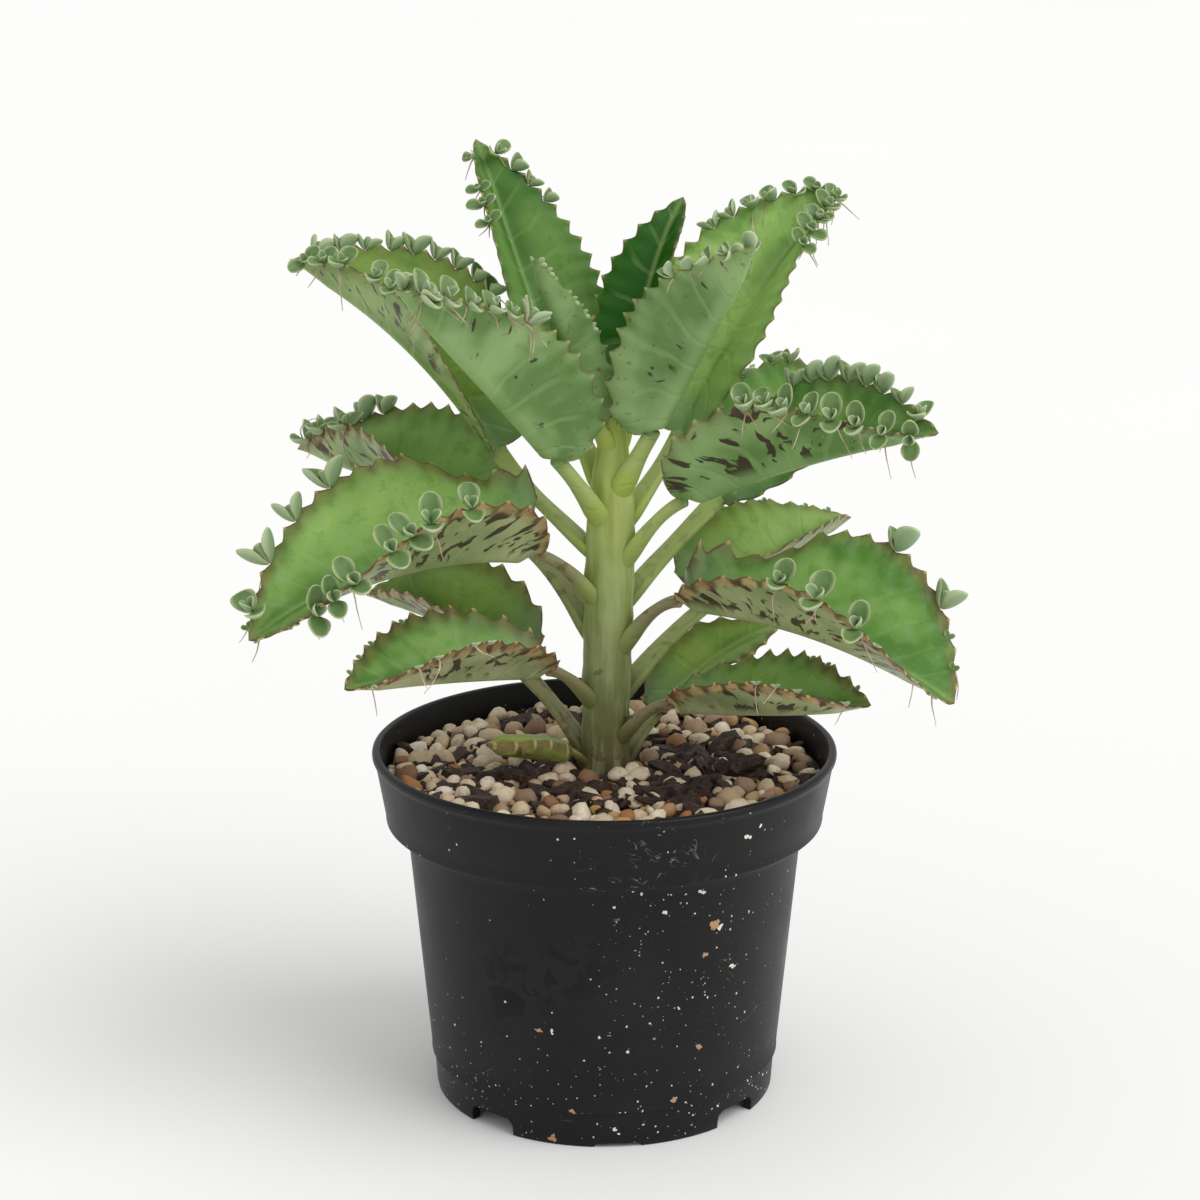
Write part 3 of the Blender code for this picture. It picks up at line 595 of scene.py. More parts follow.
# bark lies in patches, two at the right of the stem and a small one at its left: strength, x, y, spread
barkPatches = ((1.1, 18, -16, 150), (0.7, 30, 4, 160), (0.5, -20, -10, 90))
strayShape = {"place": (6.2, -11.8, 3.2), "lobe": (3.0, 2.4, 1.7), "out": 2.9, "tilt": 0.35, "tone": 0.62,
              "turnAndSize": ((8, 1.0), (70, 0.8), (172, 1.0), (262, 0.9)), "seed": 3}
soilShape = {"rings": 26, "steps": 96, "gap": 0.25, "drop": 0.4, "low": -0.7, "high": 0.9, "seed": 5}


def primitivePoints(obj):
    points = np.array([tuple(v.co) for v in obj.data.vertices]) / mm
    faces = [tuple(f.vertices) for f in obj.data.polygons]
    bpy.data.objects.remove(obj, do_unlink=True)
    return points, faces


def oneStone():
    deselectAll()
    bpy.ops.mesh.primitive_ico_sphere_add(subdivisions=2, radius=mm, location=(0, 0, 0))
    return primitivePoints(bpy.context.object)


def oneChip():
    # a torn flake: a flat box, subdivided once and drawn to a rough wedge
    deselectAll()
    bpy.ops.mesh.primitive_cube_add(size=2 * mm, location=(0, 0, 0))
    editAll()
    bpy.ops.mesh.subdivide(number_cuts=1, smoothness=0.4)
    bpy.ops.object.mode_set(mode="OBJECT")
    return primitivePoints(bpy.context.object)


def randomTurn(rng, tilt):
    spin = Matrix.Rotation(rng.uniform(0, 2 * math.pi), 3, "Z")
    tip = Matrix.Rotation(rng.uniform(-tilt, tilt), 3, "X") @ Matrix.Rotation(rng.uniform(-tilt, tilt), 3, "Y")
    return np.array(tip @ spin)


def randomPlace(rng, size, gap):
    # anywhere on the bed, clear of the wall: distance from the axis, x and y
    radius = math.sqrt(rng.random()) * (innerRadius(soilTop) - size - gap)
    angle = rng.uniform(0, 2 * math.pi)
    return radius, radius * math.cos(angle), radius * math.sin(angle)


def barkShare(x, y):
    share = 0.0
    for strength, px, py, spread in barkPatches:
        share += strength * math.exp(-((x - px) ** 2 + (y - py) ** 2) / spread)
    return min(1.0, share + 0.06)


def lumpy(base, rng, amount):
    # a tumbled stone: three broad swellings and four worn flats
    shape = base.copy()
    for _ in range(3):
        axis = unit(np.array([rng.gauss(0, 1) for _ in range(3)]))
        facing = base @ axis
        shape *= (1 + amount * rng.uniform(-1, 1) * np.sin(2.6 * facing + rng.uniform(0, 6)))[:, None]
    for _ in range(4):
        axis = unit(np.array([rng.gauss(0, 1) for _ in range(3)]))
        over = np.clip(shape @ axis - rng.uniform(0.55, 0.85), 0, None)
        shape = shape - axis * (over * 0.85)[:, None]
    return shape


def dropStones(rng):
    # big stones first, each clear of the last, then small ones in the gaps a little lower down
    g = gravelShape
    placed = []
    for count, low, high, sink in ((g["big"], g["bigMin"], g["bigMax"], 0.0),
                                   (g["small"], g["smallMin"], g["smallMax"], g["smallSink"])):
        made = tries = 0
        while made < count and tries < count * 60:
            tries += 1
            size = low + (high - low) * rng.random() ** 1.5
            radius, x, y = randomPlace(rng, size, 0.3)
            if radius < g["stemGap"] + size or rng.random() < barkShare(x, y) * 0.9:
                continue
            if any((x - a) ** 2 + (y - b) ** 2 < (g["touch"] * (size + r)) ** 2 for a, b, r, _ in placed):
                continue
            placed.append((x, y, size, soilTop + rng.uniform(-0.3, g["heap"]) - sink))
            made += 1
    return placed


def makeStones(rng):
    stone, stoneFaces = oneStone()
    shapes, tone = [], []
    for x, y, size, z in dropStones(rng):
        shape = lumpy(stone, rng, 0.16) * np.array([
            size * rng.uniform(1.05, 1.35), size * rng.uniform(0.85, 1.1), size * rng.uniform(0.75, 1.05)])
        shapes.append(shape @ randomTurn(rng, 0.6).T + np.array([x, y, z]))
        tone += [rng.random()] * len(stone)
    stones = meshOfMany("gravelStones", shapes, stoneFaces)
    setFloats(stones, "stoneTone", tone)
    closeAndSmooth(stones, 75)
    finishPiece(stones, gravelStone, "gravel_soil", "soil")


def makeChips(rng):
    g = gravelShape
    chip, chipFaces = oneChip()
    shapes = []
    while len(shapes) < g["chips"]:
        size = g["chipMin"] + (g["chipMax"] - g["chipMin"]) * rng.random() ** 1.8
        radius, x, y = randomPlace(rng, size, 0.4)
        share = barkShare(x, y)
        if radius < g["stemGap"] + 0.2 + size * 0.6 or rng.random() > share + 0.16:
            continue
        rough = np.array([rng.uniform(0.75, 1.2) for _ in chip])[:, None]
        shape = chip * rough * np.array([size, size * rng.uniform(0.3, 0.6), size * rng.uniform(0.16, 0.36)])
        lift = rng.uniform(0.0, 2.6) if share > 0.3 else rng.uniform(-0.2, 1.3)
        shapes.append(shape @ randomTurn(rng, 0.55).T + np.array([x, y, soilTop + lift]))
    chips = meshOfMany("barkChips", shapes, chipFaces)
    closeAndSmooth(chips, 35)
    finishPiece(chips, barkFibre, "gravel_soil", "soil")


def makeStray():
    # a pale four-lobed plantlet that lies at the stem's foot: four plump lobes round a middle
    s = strayShape
    rng = random.Random(s["seed"])
    stone, stoneFaces = oneStone()
    shapes = []
    for turn, size in s["turnAndSize"]:
        shape = lumpy(stone, rng, 0.04) * np.array(s["lobe"]) * size + np.array([s["out"], 0, 0])
        shape = shape @ np.array(Matrix.Rotation(math.radians(turn), 3, "Z")).T
        shape = shape @ np.array(Matrix.Rotation(s["tilt"], 3, "X")).T
        shapes.append(shape + np.array(s["place"]) + np.array([0, 0, soilTop]))
    stray = meshOfMany("strayPlantlet", shapes, stoneFaces)
    setFloats(stray, "stoneTone", [s["tone"]] * len(stray.data.vertices))
    closeAndSmooth(stray, 75)
    finishPiece(stray, gravelStone, "gravel_soil", "soil")


def makeSoil():
    # the dark body of the mix: a solid plug under the gravel with a crumbly top
    s = soilShape
    rng = random.Random(s["seed"])
    rings, steps = s["rings"], s["steps"]

    def onRing(i, r, z):
        a = 2 * math.pi * i / steps
        return r * math.cos(a), r * math.sin(a), z

    top = innerRadius(soilTop) - s["gap"]
    points = [(0, 0, soilTop)]
    for k in range(1, rings + 1):
        for i in range(steps):
            crumb = 0 if k == rings else rng.uniform(s["low"], s["high"])
            points.append(onRing(i, top * k / rings, soilTop - s["drop"] + crumb))
    collarZ = potShape["collarLowZ"]
    low = potShape["floorZ"] + potShape["floorThick"] + 0.1
    lowerRings = ((innerRadius(collarZ + 2.0) - s["gap"], collarZ + 2.0),
                  (innerRadius(collarZ - 3) - s["gap"], collarZ - 2.6),
                  (innerRadius(low + 1) - 0.5, low + 1), (innerRadius(low) - 2.0, low))
    points += [onRing(i, r, z) for r, z in lowerRings for i in range(steps)] + [(0, 0, low)]
    last = rings + len(lowerRings) - 1
    faces = []
    for i in range(steps):
        j = (i + 1) % steps
        faces.append((0, 1 + i, 1 + j))
        for k in range(last):
            a, b = 1 + k * steps, 1 + (k + 1) * steps
            faces.append((a + i, b + i, b + j, a + j))
        faces.append((1 + last * steps + i, len(points) - 1, 1 + last * steps + j))
    plug = meshFrom("soilPlug", points, faces)
    closeAndSmooth(plug, 50, 0.00001)
    finishPiece(plug, barkFibre, "gravel_soil", "soil")


makeSoil()
gravelRandom = random.Random(gravelShape["seed"])
makeStones(gravelRandom)
makeChips(gravelRandom)
makeStray()
print("soil and gravel made")


# ---------- stem

# height and radius in mm
stemRings = ((66, 5.0), (80, 6.4), (86, 6.6), (90, 6.3), (98, 6.0), (104, 5.8), (110, 6.3), (117, 5.9), (124, 6.4),
             (131, 5.9), (136, 6.4), (142, 5.9), (147, 6.3), (152, 5.7), (156, 5.9), (161, 5.1), (164, 5.1),
             (169, 3.9), (173, 3.8), (179, 2.6), (184, 2.0), (188, 1.0))
stemBuild = {"rows": 150, "sides": 40, "blur": 7, "square": 0.035, "wavy": 0.012, "lean": 0.024, "leanFrom": 85.0}


def lean(z):
    return stemBuild["lean"] * np.maximum(0.0, np.asarray(z) - stemBuild["leanFrom"])


def stemRadius(z):
    return float(np.interp(z, *zip(*stemRings)))


def makeStem():
    b = stemBuild
    heights = np.linspace(stemRings[0][0], stemRings[-1][0], b["rows"])
    heights = np.concatenate([[heights[0]], heights, [heights[-1] + 0.3]])
    radii = np.pad([stemRadius(z) for z in heights], b["blur"] // 2, mode="edge")
    radii = np.convolve(radii, np.ones(b["blur"]) / b["blur"], mode="valid")
    radii[0] = radii[-1] = 0.0
    stemPiece, row, column = addGrid("mainStem", len(heights), b["sides"] + 1)
    a, z = column / b["sides"] * 2 * math.pi, heights[row]
    # the stem is squarish where a leaf pair leaves it
    r = radii[row] * (1 + b["square"] * np.cos(4 * a + 0.4) + b["wavy"] * np.sin(z * 0.9 + 3 * a))
    setPoints(stemPiece, np.stack([lean(z) + r * np.cos(a), r * np.sin(a), z], -1))
    closeAndSmooth(stemPiece, 70, 0.00001)
    finishPiece(stemPiece, stemSkin, "stem_skin", "stem")


makeStem()
print("stem made")


# ---------- leaves

# Each leaf as in the solids: z height at the stem in mm, az compass angle, lift where it leaves the stem,
# at the blade's base and at the tip, stalk and blade length, sideways bend, half width, fold of the halves,
# roll about the midrib, full (width further out), lobe sweep; then age and marks for the skin.
leafColumns = ("z", "az", "lift", "stalk", "blade", "bend", "half", "fold", "roll", "full", "lobe", "age", "marks")
# What only some leaves have: young and yellow skin, and pale, a lighter top that is partly the skin's tone and
# partly painted light; plump; ear: side, first and last share of the blade, height; kids and stubs: side, first
# and last share of the blade, how many, and the kids' height.
leafExtras = dict(young=0.0, pale=0.5, yellow=0.0, plump=1.0, ear=(0, 0, 1, 0), kids=(), stubs=())
leafShapes = {
    "leaf_01": ((89, 30, (52, 42, 16), 13, 41, -14, 12, (32, 20), (4, 22), 0.8, 3, 0.7, 0.35), dict(yellow=0.35)),
    "leaf_02": ((91.5, -158, (4, 9, 14), 3, 24, 6, 5.5, (34, 26), (0, 0), 0.9, 1, 0.4, 0.4),
                dict(plump=2.6, yellow=0.8)),
    "leaf_03": ((99, -26, (58, 2, 12), 15, 54, 0, 17, (50, 36), (-4, 12), 1.0, 4, 0.95, 0.9),
                dict(stubs=((-1, 0.5, 0.9, 4), (1, 0.6, 0.9, 3)))),
    "leaf_04": ((93, 158, (53, 37, 2), 24, 48, 0, 19, (57, 52), (-22, -20), 0.7, 3, 0.8, 0.9), dict(yellow=0.3)),
    "leaf_05": ((109.5, -152, (50, 6, 4), 12, 60, 16, 18, (58, 36), (-8, -6), 0.9, 5, 1.0, 0.9),
                dict(pale=0.25, stubs=((1, 0.4, 0.9, 5), (-1, 0.6, 0.95, 4)))),
    "leaf_06": ((110.5, 33, (36, 25, 11), 31, 50, 8, 20, (46, 39), (4, 7), 0.65, 8, 0.55, 0.3),
                dict(pale=0.7, yellow=0.4, stubs=((1, 0.6, 0.9, 3),))),
    "leaf_07": ((124, -24, (70, 0, -29), 17, 75, 2, 29, (58, 33), (3, 14), 1.15, 5, 0.9, 0.85),
                dict(pale=0.15, ear=(1, 0.01, 0.2, 6.5), kids=((-1, 0.38, 0.64, 3, 8.5), (1, 0.62, 0.80, 2, 9.5)),
                     stubs=((-1, 0.72, 0.95, 3), (1, 0.88, 0.96, 2)))),
    "leaf_08": ((125, 150, (62, 18, 7), 34, 65, 2, 23, (44, 66), (-22, 4), 0.75, 5, 0.7, 1.0),
                dict(kids=((-1, 0.66, 0.97, 5, 8), (1, 0.72, 0.9, 3, 7)))),
    "leaf_09": ((137, -157, (54, 9, -30), 16, 78, 2, 29, (60, 26), (-4, -18), 0.8, 5, 0.85, 0.8),
                dict(pale=0.75, yellow=0.05, ear=(-1, 0.0, 0.17, 6.5),
                     kids=((1, 0.34, 0.84, 7, 8.5), (-1, 0.56, 0.92, 4, 9.5)),
                     stubs=((1, 0.88, 0.97, 2), (-1, 0.97, 0.99, 1)))),
    "leaf_10": ((135.5, 38, (26, 34, 22), 34, 55, 12, 21, (45, 48), (34, 38), 0.8, 5, 0.4, 0.3),
                dict(young=0.2, kids=((1, 0.45, 0.75, 3, 6),))),
    "leaf_11": ((146.5, -20, (62, 26, 12), 18, 70, -10, 24, (56, 40), (-14, 20), 0.8, 6, 0.4, 0.75),
                dict(young=0.15, pale=0.25, kids=((-1, 0.40, 0.96, 8, 8), (1, 0.42, 0.95, 9, 7)))),
    "leaf_12": ((149, 162, (22, 56, 24), 31, 73, 4, 24, (54, 56), (-30, -6), 0.8, 5, 0.35, 0.6),
                dict(young=0.1, yellow=0.35, kids=((-1, 0.42, 0.96, 9, 7), (1, 0.62, 0.94, 5, 6.5)))),
    "leaf_13": ((157, -135, (50, 44, 41), 18, 72, 3, 21, (55, 47), (0, 5), 0.7, 6, 0.15, 0.12),
                dict(young=0.3, kids=((1, 0.54, 0.96, 8, 7), (-1, 0.66, 0.94, 5, 6.5)))),
    "leaf_14": ((156, 35, (34, 59, 40), 22, 78, -2, 23, (32, 52), (15, 22), 0.8, 5, 0.2, 0.1),
                dict(pale=1.1, kids=((1, 0.60, 0.96, 7, 6), (-1, 0.68, 0.95, 6, 6)))),
    "leaf_15": ((164, -50, (54, 54, 52), 16, 63, -6, 19, (54, 48), (1, -6), 0.8, 7, 0.1, 0.1),
                dict(young=0.35, kids=((-1, 0.72, 0.95, 4, 6), (1, 0.76, 0.9, 2, 7)))),
    "leaf_16": ((164, 131, (44, 58, 63), 16, 77, 0, 19, (32, 39), (1, 2), 0.8, 5, 0.1, 0.05),
                dict(young=0.6, pale=0.8, kids=((-1, 0.72, 0.95, 4, 6), (1, 0.64, 0.9, 4, 5)))),
    "leaf_17": ((174, -125, (53, 58, 59), 6, 51, 4, 9, (52, 50), (2, 4), 0.7, 4, 0.0, 0.0),
                dict(young=0.5, stubs=((1, 0.5, 0.97, 5), (-1, 0.45, 0.95, 5)))),
    "leaf_18": ((173, 55, (66, 80, 48), 10, 54, -2, 12, (50, 33), (-2, 10), 0.8, 4, 0.0, 0.0), dict(young=1.0)),
}
apexShapes = {
    "apexLeft": ((178, -35, (72, 74, 78), 1, 13, 0, 3.0, (40, 35), (0, 0), 0.8, 0.3, 0.0, 0.0), dict(young=1.0)),
    "apexRight": ((180, 145, (76, 76, 80), 1, 12, 0, 3.0, (40, 35), (0, 0), 0.8, 0.3, 0.0, 0.0), dict(young=1.0)),
}
leafBuild = {
    "toothPitch": 5.0, "toothDepth": 2.2, "rowsPerTooth": 8, "skin": 0.78, "keelWide": 2.0, "foldRadius": 4.0,
    "wave": 0.3, "shapePower": 0.85, "lobeEnd": 0.32, "stalkRows": 16, "stalkWide": (3.0, 2.5),
    "stalkHigh": (2.4, 2.0), "stalkFold": 20.0, "foldMost": 86, "ribSteps": 240,
}
# one tooth, from notch to notch: a slow rise to a point that leans to the tip, then a quick fall
toothShape = ((0.0, 0.125, 0.25, 0.375, 0.5, 0.625, 0.75, 0.875, 1.0),
              (0.0, 0.16, 0.34, 0.54, 0.78, 1.0, 0.52, 0.16, 0.0))
halfSteps = np.array([0, 0.04, 0.09, 0.16, 0.25, 0.36, 0.48, 0.60, 0.71, 0.81, 0.89, 0.95, 0.985, 1.0])


def direction(lift, az):
    lift, az = np.radians(lift), np.radians(az)
    return np.stack([np.cos(lift) * np.cos(az), np.cos(lift) * np.sin(az), np.sin(lift)], -1)


def mix(a, b, share):
    return a + (b - a) * share


def smooth(share):
    share = np.clip(share, 0, 1)
    return share * share * (3 - 2 * share)


def rolled(side, up, degrees):
    angle = np.radians(degrees)[:, None]
    return side * np.cos(angle) + up * np.sin(angle), up * np.cos(angle) - side * np.sin(angle)


def stalkCurve(s):
    # one easy curve that climbs inside the stem, leaves it at a slant and meets the blade in its own direction
    steps = leafBuild["stalkRows"]
    inside = stemRadius(s.z)
    outward = direction(0, s.az)
    axis = np.array([float(lean(s.z)), 0.0, s.z])
    foot = axis + outward * (inside + 0.55)
    lifts = mix(s.lift[0], s.lift[1], (np.arange(steps) + 0.5) / steps)
    end = foot + direction(lifts, s.az).sum(0) * s.stalk / steps
    start = axis + outward * 0.3 * inside - np.array([0, 0, 1.7 * inside + 1.0])
    climb = axis + outward * 0.55 * inside - np.array([0, 0, 0.55 * inside])
    bend = end - direction(s.lift[1], s.az) * 0.5 * np.linalg.norm(end - foot)
    t = (np.arange(steps + 7) / (steps + 6))[:, None]
    stalk = (1 - t) ** 3 * start + 3 * t * (1 - t) ** 2 * climb + 3 * t * t * (1 - t) * bend + t ** 3 * end
    tangent = (1 - t) ** 2 * (climb - start) + 2 * t * (1 - t) * (bend - climb) + t * t * (end - bend)
    clear = np.hypot(stalk[:, 0] - lean(stalk[:, 2]), stalk[:, 1]) - inside
    return stalk, tangent / np.linalg.norm(tangent, axis=1)[:, None], clear, t[:, 0]


def leafRows(s):
    # everything that varies along a leaf: centre line, frame, width, fold, sweep and the saw teeth
    b = leafBuild
    stalk, stalkT, clear, t = stalkCurve(s)
    stalkAlong = np.concatenate([[0], np.cumsum(np.linalg.norm(np.diff(stalk, axis=0), axis=1))])
    stalkAlong = stalkAlong - stalkAlong[-1]
    stalkShare = 1 + stalkAlong / s.stalk
    az = np.radians(s.az)
    stalkSide = np.tile([-np.sin(az), np.cos(az), 0.0], (len(stalk), 1))
    # the stalk turns towards the blade's roll over its outer half
    stalkFrame = rolled(stalkSide, np.cross(stalkT, stalkSide), s.roll[0] * smooth((stalkShare - 0.4) / 0.6))
    # it spreads like a trumpet where it meets the stem
    flare = np.exp(-np.clip(clear, 0.0, None) / 3.0)
    size = min(1.0, 0.45 + s.half / 36)
    rising = 0.5 + 0.5 * smooth(t / 0.4)
    stalkWide = (mix(*b["stalkWide"], smooth(stalkShare * 1.5)) + 0.9 * flare) * size * rising
    stalkHigh = (mix(*b["stalkHigh"], smooth(stalkShare * 1.5)) + 0.2 * flare) * size * rising
    stalkWide[0] = 0.0

    fine = np.linspace(0, 1, b["ribSteps"] + 1)
    mid = (fine[1:] + fine[:-1]) / 2
    moves = direction(mix(s.lift[1], s.lift[2], mid), s.az + s.bend * mid)
    rib = np.vstack([stalk[-1], stalk[-1] + np.cumsum(moves * s.blade / b["ribSteps"], 0)])
    teeth = 3 if s.half < 4 else max(4, round(s.blade / b["toothPitch"]))
    u = np.linspace(0, 1, teeth * b["rowsPerTooth"] + 1)[1:]
    tooth = np.interp((u * teeth) % 1.0, *toothShape)
    centre = np.stack([np.interp(u, fine, rib[:, i]) for i in range(3)], -1)
    tangent = direction(mix(s.lift[1], s.lift[2], u), s.az + s.bend * u)
    azRow = np.radians(s.az + s.bend * u)
    side = np.stack([-np.sin(azRow), np.cos(azRow), 0 * azRow], -1)
    bladeFrame = rolled(side, np.cross(tangent, side), mix(*s.roll, u))
    width = s.half * np.maximum(np.sin(np.pi * u ** s.full), 0) ** b["shapePower"]
    width = np.hypot(stalkWide[-1] * (1 - u) ** 2, width)
    width[-1] = 0.0
    depth = b["toothDepth"] * min(1.0, 0.35 + s.half / 24) * np.clip(width / 6, 0, 1)
    sweep = s.lobe * np.sin(np.pi * np.clip(u / b["lobeEnd"], 0, 1) ** 0.7)
    fold = mix(b["stalkFold"], mix(*s.fold, u), smooth(u / 0.05))
    zeros = np.zeros(len(stalk))
    parts = dict(
        centre=(stalk, centre), tangent=(stalkT, tangent), side=(stalkFrame[0], bladeFrame[0]),
        up=(stalkFrame[1], bladeFrame[1]), width=(stalkWide, width), high=(stalkHigh, 0 * u),
        blade=(zeros, smooth(u / 0.07)), sweep=(zeros, sweep), tooth=(zeros, (tooth - 0.45) * depth),
        toothAt=(zeros + 0.4, tooth), fold=(zeros + b["stalkFold"], fold),
        keel=(stalkHigh, stalkHigh[-1] * mix(1.0, 0.25, u)), along=(stalkAlong, u * s.blade),
        root=(smooth(1.1 - clear / 4.0), 0 * u), u=(zeros, u))
    return SimpleNamespace(teeth=teeth, stalkCount=len(stalk),
                           **{key: np.concatenate(pair) for key, pair in parts.items()})


def leafSurface(s, rows, seed):
    # section of every row: from the left margin over the top to the right and back underneath
    b = leafBuild
    width, u, body = rows.width[:, None], rows.u[:, None], rows.blade[:, None]
    hs = halfSteps[None, :]
    w = width * halfSteps + rows.tooth[:, None] * halfSteps ** 7
    zero = np.zeros((len(w), 1))
    edgeRound = np.sqrt(np.clip(1 - hs ** 10, 0, 1))
    ellipse = np.sqrt(np.clip(1 - hs ** 2, 0, 1))
    tipThin = np.clip((1 - u) * 6, 0.25, 1) * (width > 0)
    skin = b["skin"] * s.plump * tipThin * mix(0.62, 1.0, np.clip((1 - hs) * 3, 0, 1))
    keel = rows.keel[:, None] * np.exp(-(w / b["keelWide"]) ** 2)
    high = rows.high[:, None]
    top = mix(0.45 * high * ellipse, skin * edgeRound, body) * (width > 0)
    low = mix(high * ellipse, skin * edgeRound + keel * tipThin, body) * (width > 0)
    soft = np.clip(width / 8, 0, 1)
    halves = {}
    for sign in (1, -1):
        # some leaves raise one half's base lobe into a coarse-toothed ear
        earSign, earFirst, earLast, earHigh = s.ear
        reach = (rows.u - earFirst) / (earLast - earFirst)
        ear = np.sin(np.pi * np.clip(reach, 0, 1) ** 0.8) * (earSign == sign)
        dip = np.sin(np.pi * np.clip(reach - 0.9, 0, 1)) * (earSign == sign) * 0.6
        swell = ear * (0.8 + 0.35 * (rows.toothAt - 0.4)) - dip
        wide = w + (earHigh * swell)[:, None] * halfSteps ** 2
        angle = np.radians(np.minimum(rows.fold + 22 * ear, b["foldMost"]))[:, None]
        angle = angle * smooth(wide / b["foldRadius"] + 0.25)
        bent = (angle[:, 1:] + angle[:, :-1]) / 2
        steps = np.diff(wide, axis=1)
        out = np.hstack([zero, np.cumsum(np.cos(bent) * steps, 1)])
        rise = np.hstack([zero, np.cumsum(np.sin(bent) * steps, 1)])
        # a light ripple across the blade, strongest at the margin
        wave = b["wave"] * soft * hs ** 3 * np.sin(u * rows.teeth * 2 * np.pi + seed + sign)
        wave = wave + 0.9 * soft * hs ** 2 * np.sin(u * 7.0 + seed * 1.7 + sign * 2.0)
        lateral, upward = rows.side[:, None, :] * sign, rows.up[:, None, :]
        point = (rows.centre[:, None, :] + lateral * out[..., None] + upward * rise[..., None]
                 - rows.tangent[:, None, :] * (rows.sweep[:, None] * hs ** 1.1)[..., None])
        normal = upward * np.cos(angle)[..., None] - lateral * np.sin(angle)[..., None]
        point = point + normal * (wave * body)[..., None]
        halves[sign] = (point + normal * top[..., None], point - normal * low[..., None], point, normal)
    ring = np.concatenate([halves[1][0][:, ::-1], halves[-1][0][:, 1:],
                           halves[-1][1][:, ::-1], halves[1][1][:, 1:]], 1)
    acrossHalf = np.concatenate([halfSteps[::-1], halfSteps[1:]])
    across = np.tile(acrossHalf, (len(w), 2))
    outward = across * width
    # side veins: straight out or a little back at the base, more and more forward to the tip
    vein = rows.along[:, None] - mix(-0.5, 0.95, smooth(u)) * outward
    readings = {"Across": across, "Edge": (1 - across) * width, "Out": outward, "Vein": vein,
                "Under": np.repeat([[0.0, 1.0]], len(acrossHalf), axis=1), "Share": u,
                "Along": rows.along[:, None], "Tooth": rows.toothAt[:, None], "Root": rows.root[:, None],
                "Age": s.age, "Marks": s.marks, "Young": s.young, "Seed": seed * 3.7, "Pale": s.pale,
                "Yellow": s.yellow}
    return ring, readings, halves


def makeLeaf(name, s, node, seed):
    rows = leafRows(s)
    ring, readings, halves = leafSurface(s, rows, seed)
    leaf, row, column = addGrid(name, *ring.shape[:2])
    setPoints(leaf, ring[row, column])
    for key, values in readings.items():
        setFloats(leaf, "leaf" + key, np.broadcast_to(values, ring.shape[:2])[row, column])
    closeAndSmooth(leaf, 70, 0.000002)
    finishPiece(leaf, leafSkin, "leaf_skin", node)
    return rows, halves


# ---------- plantlets and aerial roots

plantletBuild = {
    "outerLength": 0.86, "outerWidth": 0.67, "innerLength": 0.5, "innerWidth": 0.4, "outerOpen": 68,
    "innerOpen": 26, "thick": 0.2, "cup": 0.26, "rootMin": 5.0, "rootMax": 12.0, "rootRadius": 0.23,
    "rootSteps": 9, "rootSides": 5, "rootFall": 0.28, "jitter": 0.4, "farTwist": 1.15, "farOpen": 0.66,
    "stubLength": 2.1, "stubWidth": 1.5,
}


def oneLeaflet():
    # a thick spoon from a ball: narrow foot, round end, rounded rim
    deselectAll()
    bpy.ops.mesh.primitive_uv_sphere_add(segments=14, ring_count=10, radius=mm, location=(0, 0, 0))
    editAll()
    bpy.ops.transform.resize(value=(1.0, 1.0, 0.5), center_override=(0, 0, 0))
    bpy.ops.object.mode_set(mode="OBJECT")
    points, faces = primitivePoints(bpy.context.object)
    along = np.clip(points[:, 2] + 0.5, 0, 1)
    ringSize = np.maximum(np.hypot(points[:, 0], points[:, 1]), 1e-6)
    turnX, turnY = points[:, 0] / ringSize, points[:, 1] / ringSize
    fullness = np.sqrt(4 * along * (1 - along))
    across = turnX * fullness * (0.5 - 0.42 * (1 - along) ** 5)
    rim = np.where(along > 0.97, 1.0, np.abs(turnX))
    return np.stack([along, across, turnY * 0.5 * fullness ** 0.7], -1), rim, (turnY > 0).astype(float), faces


def placeLeaflet(root, way, cupSide, length, width):
    # way: where it points; cupSide: the hollow side faces this way
    p = plantletBuild
    way = unit(way)
    cross = unit(np.cross(unit(cupSide), way))
    cup = np.cross(way, cross)
    along, across, z = leafletBase.T
    bowl = p["cup"] * length * ((along - 0.35) ** 2 - 0.12) + p["cup"] * width * (across * 2) ** 2 * 1.2
    return (root + way * (along * length)[:, None] + cross * (across * width)[:, None]
            + cup * (z * p["thick"] * length + bowl)[:, None])


def threadRoot(start, way, length, rng):
    # a thin tube that arches out and hangs
    p = plantletBuild
    steps, sides = p["rootSteps"], p["rootSides"]
    points = []
    at, heading = start, way
    wander = np.array([rng.gauss(0, 1), rng.gauss(0, 1), rng.gauss(0, 0.3)]) * 0.16
    for k in range(steps + 1):
        heading = heading - np.array([0, 0, p["rootFall"]]) + wander
        heading = unit(heading + np.array([rng.gauss(0, 0.07) for _ in range(3)]))
        first = unit(np.cross(heading, [0.3, 0.9, 0.1]))
        second = np.cross(heading, first)
        r = p["rootRadius"] * (1 - 0.6 * k / steps)
        for i in range(sides):
            a = 2 * math.pi * i / sides
            points.append(at + (first * math.cos(a) + second * math.sin(a)) * r)
        at = at + heading * length / steps
    return np.array(points)


def threadFaces():
    steps, sides = plantletBuild["rootSteps"], plantletBuild["rootSides"]
    faces = []
    for k in range(steps):
        for i in range(sides):
            j = (i + 1) % sides
            faces.append((k * sides + i, k * sides + j, (k + 1) * sides + j, (k + 1) * sides + i))
    return faces + [tuple(reversed(range(sides))), tuple(range(steps * sides, (steps + 1) * sides))]


leafletBase, leafletRim, leafletInside, leafletFaces = oneLeaflet()


